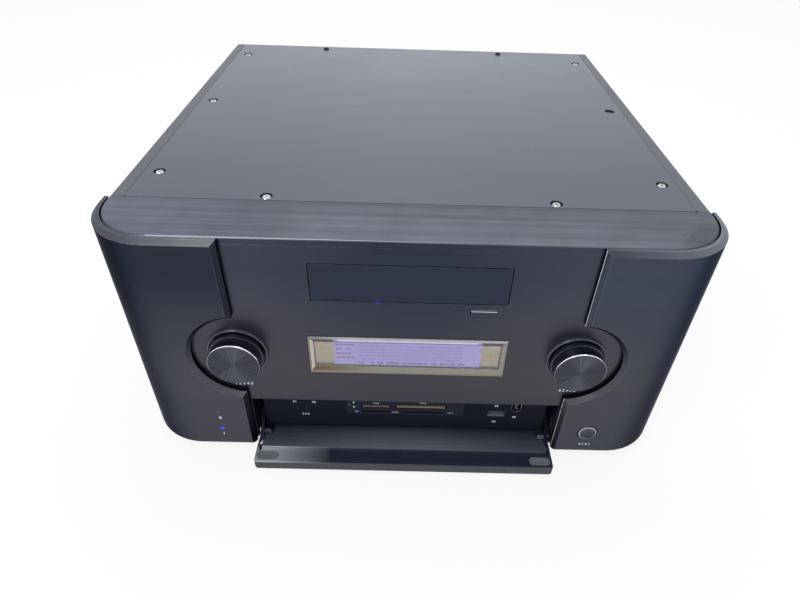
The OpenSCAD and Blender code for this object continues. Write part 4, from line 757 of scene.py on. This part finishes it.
def make_screw_row():
    """Countersunk screw heads with a small hex recess, in a row along x, facing upwards."""
    tree, given, out = new_geometry("screw_row", {
        "Count": 2, "Pitch": 0.01, "Radius": 0.002, "Depth": 0.0005, "Centre": (0.0, 0.0, 0.0)})
    index = add_node(tree, "GeometryNodeInputIndex").outputs[0]
    step = add_node(tree, "ShaderNodeCombineXYZ", {
        "X": maths(tree, "MULTIPLY", from_middle(tree, index, given["Count"]), given["Pitch"])})
    points = spaced_points(tree, given, given["Count"], step.outputs[0])

    def disc(sides, share, lift):
        made = add_node(tree, "GeometryNodeMeshCylinder", {
            "Vertices": sides, "Radius": maths(tree, "MULTIPLY", given["Radius"], share),
            "Depth": given["Depth"]})
        raised = add_node(tree, "ShaderNodeCombineXYZ", {
            "Z": maths(tree, "MULTIPLY", given["Depth"], lift)})
        return add_node(tree, "GeometryNodeTransform", {
            "Translation": raised.outputs[0], "Geometry": made.outputs["Mesh"]}).outputs[0]

    head = add_node(tree, "GeometryNodeMeshBoolean", {
        "Mesh 1": disc(24, 1.0, 0.0), "Mesh 2": disc(6, 0.36, 0.8)}, operation="DIFFERENCE")
    row = add_node(tree, "GeometryNodeInstanceOnPoints", {
        "Points": points, "Instance": head.outputs["Mesh"]})
    return finish_tree(tree, row.outputs[0], given, out)


def grown(name, maker, body, slot, finish, **values):
    """Bakes a geometry tree, with its inputs set, into a plain piece that rides on a body."""
    if maker not in GROUPS:
        GROUPS[maker] = maker()
    obj = linked(name, bpy.data.meshes.new(name))
    modifier = obj.modifiers.new("grow", "NODES")
    modifier.node_group = GROUPS[maker]
    values["Material"] = material(finish)
    for item in GROUPS[maker].interface.items_tree:
        key = item.name.replace(" ", "_")
        if item.in_out == "INPUT" and key in values:
            modifier[item.identifier] = values[key]
    mesh = baked(name, obj)
    if not mesh.polygons:
        raise RuntimeError(f"{name} grew no faces")
    if not mesh.materials:
        mesh.materials.append(material(finish))
    return add_piece(name, mesh, body)


# ---- Operators ---------------------------------------------------------------------------------

CASE_FINISHES = {
    "side_metal": "left_side_panel right_side_panel",
    "front_metal": "front_panel",
    "tray_metal": "tray_front",
    "black_steel": "rear_panel top_frame drive_brackets",
    "zinc_steel": "drive_case psu_case slot_covers io_shield hinge_brackets",
    "silver_screw": "cover_screws",
    "black_screw": "pan_head_screws foot_screws",
    "bright_steel": "left_shaft right_shaft hinge_pins data_socket encoders rear_sockets",
    "socket_black": "port_panel",
    "black_plastic": "disc_tray jack_sockets reset_button button_switches fan_frames left_fan_rotor "
                     "right_fan_rotor psu_fan_rotor mains_inlet mains_switch",
    "knob_collar": "knob_collars",
    "white_plastic": "loading_gear",
    "rubber": "foot_pads disk_mounts",
    "foot_metal": "feet",
    "brass": "board_standoffs",
    "bare_aluminium": "heat_sink hard_disk",
    "circuit_board": "main_board memory_modules",
    "display_glass": "display_glass",
    "screen_glow": "display_screen",
    "module_metal": "display_module",
}


class RECEIVER_OT_case(bpy.types.Operator):
    """Finish the case, the chassis and everything that keeps its frame shape"""
    bl_idname = "receiver.case"
    bl_label = "Case finishes"

    def execute(self, context):
        for finish, nodes in CASE_FINISHES.items():
            dress(finish, *nodes.split())
        floor_x = 0.19                                # just short of the base pan's side walls
        socket_lip, tongue = 1.3 * MM, 3 * MM         # a socket's rim, and room round its tongue
        # painted light on the base pan's inside floor
        dressed_copy("base_pan", "root", ["black_steel", "pan_inside"],
                     lambda middle, normal: 1 if normal.z > MOSTLY and abs(middle.x) < floor_x else 0)
        shelves = [middle.z for middle in ((low + high) / 2 for low, high in islands("usb_sockets"))
                   if abs(middle.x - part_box("usb_sockets")[0].x) > 0.001]
        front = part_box("usb_sockets")[0].y
        dressed_copy("usb_sockets", "root", ["bright_steel", "tongue_grey"],
                     lambda middle, normal: 1 if middle.y > front + socket_lip and normal.z > MOSTLY
                     and any(abs(middle.z - z) < tongue for z in shelves) else 0)
        return {"FINISHED"}


class RECEIVER_OT_top(bpy.types.Operator):
    """Finish the top plate and the cover, with their edges broken by a fine bevel that carries a painted
    highlight on the plate and painted seam shade on the cover
    """
    bl_idname = "receiver.top"
    bl_label = "Top plate and cover"

    def execute(self, context):
        # how near an edge is to the outline, how level it is, and where the front corners start
        near_rim, skin, corner_x = 0.3 * MM, 0.02 * MM, 0.168
        bays = 45 * MM           # the top plate's front outline, with its bays, lies in this depth

        def rim_edge(node):
            low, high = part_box(node)

            def test(edge):
                if min(v.co.z for v in edge.verts) < high.z - skin:
                    return False
                if sum(face.normal.z > STRAIGHT for face in edge.link_faces) != 1:
                    return False
                middle = (edge.verts[0].co + edge.verts[1].co) / 2
                near = min(middle.x - low.x, high.x - middle.x, middle.y - low.y, high.y - middle.y)
                return near < near_rim or (node == "front_top_plate" and middle.y < low.y + bays)
            return test

        plate = dressed_copy("front_top_plate", "root",
                             ["plate_metal", "front_metal", "plate_edge"],
                             lambda middle, normal: 1 if normal.z < MOSTLY else 0,
                             broken=(0.35 * MM, 2, rim_edge("front_top_plate")))
        for face in plate.data.polygons:
            if face.material_index == 2 and abs(face.center.x) > corner_x:
                face.material_index = 1
        dressed_copy("top_cover", "root", ["cover_metal", "cover_edge"],
                     lambda middle, normal: 1 if normal.z < MOSTLY else 0,
                     broken=(0.5 * MM, 1, rim_edge("top_cover")))
        return {"FINISHED"}


class RECEIVER_OT_cheeks(bpy.types.Operator):
    """Finish the wrap-round cheeks: satin face with painted shade at the top, chamfers with painted light
    and shade, painted shade in the bays and on the left inner bevel, and a painted highlight on the right
    inner edge
    """
    bl_idname = "receiver.cheeks"
    bl_label = "Cheeks"

    def execute(self, context):
        face, chamfer, shade, painted_highlight = range(4)
        edge_x, bay_x = 0.127, 0.163      # out to the straight inner edges, and to the knobs' bays
        chamfer_z, level, slope = TOP_Z - 6 * MM, 0.999, 0.3
        for side, facing in (("left", 1), ("right", -1)):
            def finish_of(middle, normal):
                if normal.z > slope and middle.z > chamfer_z:
                    return chamfer
                if abs(normal.y) < slope and abs(middle.x) < bay_x and abs(normal.z) < level:
                    return shade
                # painted shade on the left cheek's inner bevel only
                inner = normal.x * facing > MOSTLY and abs(middle.x) < edge_x
                return shade if inner and side == "left" else face

            def lit_inner_edge(edge):
                """The straight edge between the inner wall and its bevel."""
                inwards = sorted(face.normal.x * facing for face in edge.link_faces)
                return (MOSTLY < inwards[0] < STRAIGHT < inwards[1]
                        and abs(edge.verts[0].co.x) < edge_x - 1 * MM)

            # the right cheek's inner edge gets a real bevel that carries a painted highlight
            dressed_copy(f"{side}_cheek", "root",
                         [f"{side}_cheek_metal", f"{side}_chamfer", "cheek_shade", "cut_edge"], finish_of,
                         broken=(0.3 * MM, painted_highlight, lit_inner_edge) if side == "right" else None)
        return {"FINISHED"}


class RECEIVER_OT_buttons(bpy.types.Operator):
    """Finish the power button with a bright ring and the eject button with a bright upper edge, both
    painted highlights on real bevels
    """
    bl_idname = "receiver.buttons"
    bl_label = "Buttons"

    def execute(self, context):
        def ring_edge(edge):
            """The edge between the power button's face and its chamfer."""
            slopes = sorted(face.normal.y for face in edge.link_faces)
            return slopes[0] < -STRAIGHT < slopes[1] < -0.3

        def nail_edge(edge):
            """The upper edge of the eject button's bevel."""
            low_z, high_z = sorted(face.normal.z for face in edge.link_faces)
            return 0.3 < low_z < 0.95 < high_z or (low_z < 0.2 and 0.3 < high_z < 0.95 and
                                                   min(f.normal.y for f in edge.link_faces) < -0.95)

        dressed_copy("power_button", "power", ["button_black", "button_edge"],
                     lambda middle, normal: 0, broken=(0.3 * MM, 1, ring_edge))
        dressed_copy("eject_button", "eject", ["front_metal", "button_edge"],
                     lambda middle, normal: 0, broken=(0.22 * MM, 1, nail_edge))
        return {"FINISHED"}


class RECEIVER_OT_knobs(bpy.types.Operator):
    """Turn the two knobs: lacquered body, groove, bright rim with painted shade below its middle, and spun
    face with painted reflection
    """
    bl_idname = "receiver.knobs"
    bl_label = "Knobs"

    def execute(self, context):
        cut, rim = context.scene.receiver_sizes.groove, context.scene.receiver_sizes.rim
        bore, dish = 3.4 * MM, 0.15 * MM          # the shaft's hole, and how far the face lies back
        slope = 0.55 * rim                        # how far the rim runs inwards to its crest
        for side, centre in KNOBS.items():
            node = f"{side}_knob"
            base_r = size(node).x / 2
            face_r = base_r - 1 * MM
            back, front = (FACE_Y - corner.y for corner in reversed(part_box(node)))
            groove = back + 0.43 * (front - back)
            profile = [(radius, out, 0) for radius, out in (
                (bore, back), (base_r - 0.3 * MM, back), (base_r, back + 0.3 * MM),
                (base_r, groove - cut / 2), (base_r - 0.25 * cut, groove - 0.35 * cut),
                (base_r - cut, groove), (base_r - cut, groove + 0.4 * cut),
                (base_r - 0.3 * cut, groove + 0.8 * cut), (base_r - 0.25 * MM, groove + 1.1 * cut),
                (face_r + 0.35 * MM, front - rim - 0.4 * MM))]
            shape = lathe(profile + [
                (face_r + 0.3 * MM, front - rim, 1), (face_r + 0.3 * MM - slope, front, 1),
                (face_r + 0.2 * MM - slope, front, 2), (face_r - slope, front - dish, 2),
                (0, front - dish, 2)], centre)
            # close the bore at the back
            hole = [v for v in shape.verts if abs(v.co.y - (FACE_Y - back)) < 1e-6
                    and math.hypot(v.co.x - centre.x, v.co.z - centre.z) < bore + 0.1 * MM]
            shape.faces.new(sorted(hole, key=lambda v: math.atan2(v.co.z - centre.z, v.co.x - centre.x)))
            mesh = mesh_from(node + "_turned", shape)
            key = f"{side}_spun"
            MADE[key] = spun_face(key, (68, 70, 79), Vector((centre.x, FACE_Y - front + dish, centre.z)))
            knob = add_piece(node + "_turned", mesh, f"{side}_dial",
                             ["knob_lacquer", "bright_rim", key])
            keep_angles(mesh, 35)
            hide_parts(node)
        return {"FINISHED"}


class RECEIVER_OT_door(bpy.types.Operator):
    """Finish the drop-down door: brushed inner pan with painted shade, dark lip with a painted reflection,
    satin edge, arms, foot blocks with painted light and strike pads
    """
    bl_idname = "receiver.door"
    bl_label = "Port door"

    def execute(self, context):
        low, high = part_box("port_door")
        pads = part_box("strike_plates")
        pan, front, tip, lip, arm, block = range(6)
        inner = UNDERSIDE_Z + 4 * MM + 0.3 * MM       # the pan's inner face lies just above this
        rim = UNDERSIDE_Z + 2.3 * MM                  # and the door's rim just below this
        pan_front = FACE_Y - 12.6 * MM
        block_x = max(abs(low.x), abs(high.x)) - 10 * MM     # the arms' foot blocks start here
        arm_x, block_end, block_top = block_x + 5.7 * MM, 0.1177, inner + 6 * MM

        def finish_of(middle, normal):
            if normal.y < -STRAIGHT and middle.y < low.y + 0.4 * MM:
                return tip
            if abs(middle.x) > arm_x and middle.z > inner:
                return arm
            if middle.z > inner + 0.3 * MM and middle.y < FACE_Y + 9 * MM and abs(middle.x) > block_x:
                return block if abs(middle.x) < block_end and middle.z < block_top else arm
            if middle.y < pan_front and normal.z > 0.3:
                return lip
            if middle.y < pan_front + 0.3 * MM and normal.y < -STRAIGHT:
                return lip
            if middle.z > rim + 0.5 * MM:
                return pan if normal.z > STRAIGHT else lip if normal.y < -MOSTLY else arm
            return tip if middle.y < low.y + 1.2 * MM and normal.z < -MOSTLY else front

        dressed_copy("port_door", "door",
                     ["pan_metal", "front_metal", "tip_metal", "lip_gloss", "arm_metal",
                      "foot_block"], finish_of)
        dressed_copy("strike_plates", "door", ["strike_metal", "strike_bore"],
                     lambda middle, normal: 1 if middle.z < pads[1].z - 0.05 * MM else 0)
        bores = (pads[1].x - pads[0].x) / 2 - 8.7 * MM
        for name, facing in (("left_strike_screws", -1), ("right_strike_screws", 1)):
            grown(name, make_screw_row, "door", "silver_screw", "strike_screw", Pitch=9.7 * MM,
                  Radius=1.75 * MM, Depth=0.5 * MM,
                  Centre=(facing * bores, (pads[0].y + pads[1].y) / 2, pads[1].z - 0.29 * MM))
        return {"FINISHED"}


class RECEIVER_OT_display(bpy.types.Operator):
    """Light the display: frame bevels painted with their own light and shade, glass, glowing screen, meter
    bars and rows of dashes
    """
    bl_idname = "receiver.display"
    bl_label = "Display"

    def execute(self, context):
        sizes = context.scene.receiver_sizes
        window_top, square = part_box("display_frame")[1].z - 3 * MM, 0.95
        face, left, right, bottom, top, brow = range(6)

        # each bevel of the frame gets its own painted light and shade by the way it faces
        def bevel_of(middle, normal):
            if max(abs(share) for share in normal) > square:
                return brow if middle.z > window_top else face
            if abs(normal.x) > abs(normal.z):
                return left if normal.x > 0 else right
            return bottom if normal.z > 0 else top

        dressed_copy("display_frame", "root",
                     ["frame_metal", "frame_left", "frame_right", "frame_bottom", "frame_top",
                      "frame_brow"], bevel_of)
        low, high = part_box("display_screen")
        wide, tall = high.x - low.x, high.z - low.z
        bars = sizes.meter_bars
        # pitch, block and spot are shares of the screen's width and height
        for name, ink, columns, rows, pitch, part, spot, left_out, shortest, seed in (
                ("meter_bars", "meter_ink", bars, 5, (0.7 / bars, 0.14), (0.35 / bars, 0.1),
                 (0.52, 0.56), 0.12, (0.5, 0.4), 4),
                ("screen_rows", "row_ink", 6, 4, (0.021, 0.19), (0.017, 0.07),
                 (0.075, 0.6), 0.2, (0.6, 0.8), 2),
                ("screen_foot_row", "foot_ink", 34, 1, (0.0215, 0), (0.016, 0.075),
                 (0.53, 0.1), 0.22, (0.6, 0.8), 7)):
            grown(name, make_block_grid, "root", "lit_screen", ink, Columns=columns, Rows=rows,
                  Pitch=(pitch[0] * wide, 0, pitch[1] * tall),
                  Block=(part[0] * wide, 0.04 * MM, part[1] * tall),
                  Centre=(low.x + spot[0] * wide, low.y - 0.03 * MM, low.z + spot[1] * tall),
                  Left_Out=left_out, Shortest=(shortest[0], 1.0, shortest[1]), Seed=seed)
        return {"FINISHED"}


def printed(name, text, place, height):
    """A plain printed number, lying on the surface that faces forwards."""
    curve = bpy.data.curves.new(name, "FONT")
    curve.body, curve.size = text, height
    curve.align_x, curve.align_y = "CENTER", "CENTER"
    curve.extrude = bpy.context.scene.receiver_sizes.mark_t / 2
    curve.offset = 0.035 * height
    curve.resolution_u = 2
    mesh = baked(name, linked(name, curve))
    mesh.transform(Matrix.Translation(place) @ Matrix.Rotation(math.radians(90), 4, "X"))
    mesh.materials.clear()
    return add_piece(name, mesh, "root", ["print"])


def islands(node):
    """The closed solids of a CAD node, each as its lowest and highest corner."""
    shape = merged(node)
    left, found = set(shape.verts), []
    while left:
        stack, seen = [left.pop()], []
        while stack:
            vert = stack.pop()
            seen.append(vert.co.copy())
            for edge in vert.link_edges:
                other = edge.other_vert(vert)
                if other in left:
                    left.remove(other)
                    stack.append(other)
        found.append((Vector(min(v[i] for v in seen) for i in range(3)),
                      Vector(max(v[i] for v in seen) for i in range(3))))
    shape.free()
    return found


class RECEIVER_OT_lights(bpy.types.Operator):
    """Set the domed status lights, the lower one lit, and the lit bar under the disc tray"""
    bl_idname = "receiver.lights"
    bl_label = "Lights"

    def execute(self, context):
        pieces = []
        for low, high in sorted(islands("status_lights"), key=lambda box: box[1].z):
            centre = (low + high) / 2
            out, back = FACE_Y - low.y, FACE_Y - high.y
            is_bar = high.x - low.x > 1.5 * (high.z - low.z)
            if is_bar:
                mesh = carved("tray_light_bar", [(low, high, 0.3 * MM)], [])
                pieces.append(add_piece("tray_light_bar", mesh, "root", ["tray_light"]))
                continue
            lit = not pieces
            pieces.append(dome("lower_status_light" if lit else "upper_status_light", centre,
                               (high.x - low.x) / 2, back, out, "root",
                               "blue_light" if lit else "dark_light"))
        for piece in pieces:
            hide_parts("status_lights")
        return {"FINISHED"}


class RECEIVER_OT_reader(bpy.types.Operator):
    """Make the card reader: a moulded front with four slots painted dark inside as shade, their contacts
    and two green lights
    """
    bl_idname = "receiver.reader"
    bl_label = "Card reader"

    def execute(self, context):
        low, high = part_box("card_reader")
        mid = (low + high) / 2
        plate, lap, deep, skin = 0.8 * MM, 2.2 * MM, 14 * MM, 0.01 * MM
        hollows = []
        # each slot's middle across and up from the reader's middle, its width and its height
        for across, up, wide, tall in ((-24, -3.3, 24.4, 2.6), (-24, -9.3, 24.4, 1.6),
                                       (13, -2.8, 43, 3.6), (14, -9.3, 36, 1.6)):
            half = Vector((wide / 2, 0, tall / 2)) * MM
            spot = Vector((mid.x + across * MM, low.y, mid.z + up * MM))
            hollows.append((spot - half - Vector((0, MM, 0)), spot + half + Vector((0, deep, 0)), 0.3 * MM))
        mesh = carved("card_reader_front", [
            (low, Vector((high.x, low.y + plate, high.z)), 1.5 * MM),
            (Vector((low.x + lap, low.y + plate / 2, low.z + 0.8 * lap)),
             Vector((high.x - lap, high.y, high.z - 0.8 * lap)), 0)], hollows)
        reader = add_piece("card_reader_front", mesh, "root",
                           ["reader_black", "slot_black"])
        # painted shade: the slots' insides take the darker finish
        for face in mesh.polygons:
            spot = face.center
            inside = any(a.x - skin < spot.x < b.x + skin and a.z - skin < spot.z < b.z + skin
                         for a, b, _ in hollows)
            face.material_index = int(inside and low.y + 0.1 * MM < spot.y < high.y - MM)
        keep_angles(mesh, 30)
        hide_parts("card_reader")
        for name, (a, b, _), share in (("left_card_contacts", hollows[0], 0.92),
                                       ("right_card_contacts", hollows[2], 0.94)):
            wide = (b.x - a.x) * share
            count = round(wide / (1.27 * MM))
            grown(name, make_block_grid, "root", "brass", "contact_gold", Columns=count, Rows=1,
                  Pitch=(wide / count, 0, 0), Block=(0.9 * MM, 5 * MM, 0.16 * MM),
                  Centre=((a.x + b.x) / 2, low.y + 3.2 * MM, a.z + 0.08 * MM))
        out, light_x, light_r, proud = FACE_Y - low.y, 42.4 * MM, 0.7 * MM, 0.3 * MM
        for name, z in (("upper_reader_light", 1.4), ("lower_reader_light", -4.2)):
            spot = Vector((mid.x - light_x, low.y, mid.z + z * MM))
            dome(name, spot, light_r, out - 0.2 * MM, out + proud, "root", "green_light",
                 proud)
        return {"FINISHED"}


class RECEIVER_OT_marks(bpy.types.Operator):
    """Print plain numbers and short rows of ticks on the front"""
    bl_idname = "receiver.marks"
    bl_label = "Printed marks"

    def execute(self, context):
        sizes = context.scene.receiver_sizes
        port_y, reader_y = FACE_Y + 9 * MM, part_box("card_reader")[0].y     # the faces behind the door

        def at(x, y, z):
            """A print's middle: millimetres across and up from the underside, just before a face."""
            return x * MM, y - sizes.mark_t / 2, UNDERSIDE_Z + z * MM

        # across and up, the face that it lies on, and its share of the mark height
        numbers = (("knob_scale_left", "1 2 3 4 5", -125.5, 66.8, FACE_Y, 1.0),
                   ("knob_scale_right", "0 2 4 6 8", 125.2, 67.2, FACE_Y, 0.9),
                   ("power_number", "0 1 0 1", 149.7, 9.3, CHEEK_Y, 0.85),
                   ("upper_light_number", "0", -148.3, 32.3, CHEEK_Y, 1.1),
                   ("lower_light_number", "1", -148.5, 12.7, CHEEK_Y, 1.1),
                   ("left_jack_number", "01", -90.7, 36.2, port_y, 0.8),
                   ("right_jack_number", "02", -75.1, 36.1, port_y, 0.8),
                   ("reset_number", "0 0 0", -82.9, 20.9, port_y, 0.7),
                   ("upper_usb_number", "03", 75.0, 36.4, port_y, 0.8),
                   ("lower_usb_number", "04", 75.0, 16.5, port_y, 0.8),
                   ("data_number", "05", 91.4, 22.8, port_y, 0.75),
                   ("left_slot_number", "1 2 3", -24.1, 37.2, reader_y, 0.6),
                   ("right_slot_number", "4 5 6", 14.4, 38.6, reader_y, 0.6))
        for name, text, x, z, y, share in numbers:
            printed(name, text, at(x, y, z), sizes.mark_h * share)
        ticks = (("lower_left_ticks", -40.4, 26.8, 3), ("lower_middle_ticks", -8.4, 26.5, 5),
                 ("lower_right_ticks", 37.5, 27.0, 4), ("light_ticks", -46.3, 35.0, 1))
        for name, x, z, count in ticks:
            grown(name, make_block_grid, "root", "white_plastic", "print", Columns=count, Rows=1,
                  Pitch=(1.1 * MM, 0, 0), Block=(0.5 * MM, sizes.mark_t, 1.1 * MM),
                  Centre=at(x, reader_y, z), Shortest=(1.0, 1.0, 0.6), Seed=3)
        return {"FINISHED"}


class RECEIVER_OT_stage(bpy.types.Operator):
    """Set the pale floor, the soft lights, the white surroundings and the camera"""
    bl_idname = "receiver.stage"
    bl_label = "Stage"

    def execute(self, context):
        scene = context.scene
        scene.view_settings.view_transform = "Standard"
        self.make_floor(scene)
        self.make_world(scene)
        self.make_lamp("key_softbox", Vector((-0.95, -1.2, 1.75)), 0.7, 0.9, 17)
        self.make_lamp("side_strip", Vector((-0.6, -1.2, 1.75)), 0.12, 0.9, 3)
        self.make_lamp("top_softbox", Vector((0.25, 0.7, 2.1)), 2.0, 1.4, 22)
        self.make_camera(scene)
        return {"FINISHED"}

    def make_floor(self, scene):
        mesh = bpy.data.meshes.new("floor")
        half, own_glow = 6.0, 0.86
        mesh.from_pydata([(-half, -half, 0), (half, -half, 0), (half, half, 0), (-half, half, 0)], [],
                         [(0, 1, 2, 3)])
        floor = linked("floor", mesh)
        paper, tree, shader, place = new_material("floor_paper")
        fibres = spread(tree, noise(tree, place, 700.0, 3.0), 0.3, 0.7, 0.97, 1.0)
        fill(tree, shader, {"Base Color": tinted(tree, scene.receiver_colours.floor, fibres),
                            "Roughness": 0.9, "Specular IOR Level": 0.1})
        glow = add_node(tree, "ShaderNodeEmission", {"Strength": 1.0})
        mix = add_node(tree, "ShaderNodeMixShader", {
            0: maths(tree, "MULTIPLY", self.seen_directly(tree), own_glow), 1: shader.outputs[0],
            2: glow.outputs[0]})
        fill(tree, tree.nodes["Material Output"], {"Surface": mix.outputs[0]})
        mesh.materials.append(paper)

    def seen_directly(self, tree):
        """1 for rays from the camera, off gloss and through glass; 0 for those that light things."""
        path = tree.nodes.new("ShaderNodeLightPath").outputs
        seen = maths(tree, "ADD", path["Is Camera Ray"], path["Is Glossy Ray"])
        return maths(tree, "ADD", seen, path["Is Transmission Ray"], clamp=True)

    def make_world(self, scene):
        world = bpy.data.worlds.new("studio")
        world.use_nodes = True
        scene.world = world
        tree = world.node_tree
        seen = self.seen_directly(tree)
        fill(tree, tree.nodes["Background"], {"Color": mixed(tree, seen, (0.86, 0.92, 1.0), (1, 1, 1)),
                                              "Strength": spread(tree, seen, 0.0, 1.0, 0.62, 1.0)})

    def make_lamp(self, name, place, wide, deep, power):
        data = bpy.data.lights.new(name, "AREA")
        data.shape, data.energy = "RECTANGLE", power
        data.size, data.size_y = wide, deep
        lamp = linked(name, data)
        lamp.location = place
        lamp.rotation_euler = (Vector((0, 0, 0.1)) - place).to_track_quat("-Z", "Y").to_euler()

    def make_camera(self, scene):
        """The camera, placed by a fit of the frame's corners to the photograph."""
        data = bpy.data.cameras.new("camera")
        data.lens = 25.73
        data.shift_x, data.shift_y = -0.0089, -0.0158
        scene.camera = linked("camera", data)
        scene.camera.location = (-0.0059, -0.4987, 0.4144)
        scene.camera.rotation_euler = [math.radians(a) for a in (51.766, -1.519, 0.445)]


OPERATORS = (RECEIVER_OT_stage, RECEIVER_OT_case, RECEIVER_OT_top, RECEIVER_OT_cheeks, RECEIVER_OT_buttons,
             RECEIVER_OT_knobs, RECEIVER_OT_door, RECEIVER_OT_display, RECEIVER_OT_lights,
             RECEIVER_OT_reader, RECEIVER_OT_marks)


class RECEIVER_PT_panel(bpy.types.Panel):
    """The receiver's colours, sizes and steps"""
    bl_idname = "RECEIVER_PT_panel"
    bl_label = "Media Receiver"
    bl_space_type = "VIEW_3D"
    bl_region_type = "UI"
    bl_category = "Receiver"

    def draw(self, context):
        layout = self.layout
        for group_props in (context.scene.receiver_colours, context.scene.receiver_sizes):
            box = layout.box()
            for prop in group_props.__annotations__:
                box.prop(group_props, prop)
        for operator in OPERATORS:
            layout.operator(operator.bl_idname)


CLASSES = (ReceiverColours, ReceiverSizes, *OPERATORS, RECEIVER_PT_panel)


def register():
    for cls in CLASSES:
        bpy.utils.register_class(cls)
    bpy.types.Scene.receiver_colours = PointerProperty(type=ReceiverColours)
    bpy.types.Scene.receiver_sizes = PointerProperty(type=ReceiverSizes)


def unregister():
    del bpy.types.Scene.receiver_sizes
    del bpy.types.Scene.receiver_colours
    for cls in reversed(CLASSES):
        bpy.utils.unregister_class(cls)


def main():
    register()
    bpy.ops.receiver.stage()
    bpy.ops.receiver.case()
    bpy.ops.receiver.top()
    bpy.ops.receiver.cheeks()
    bpy.ops.receiver.buttons()
    bpy.ops.receiver.knobs()
    bpy.ops.receiver.door()
    bpy.ops.receiver.display()
    bpy.ops.receiver.lights()
    bpy.ops.receiver.reader()
    bpy.ops.receiver.marks()


if __name__ == "__main__":
    main()
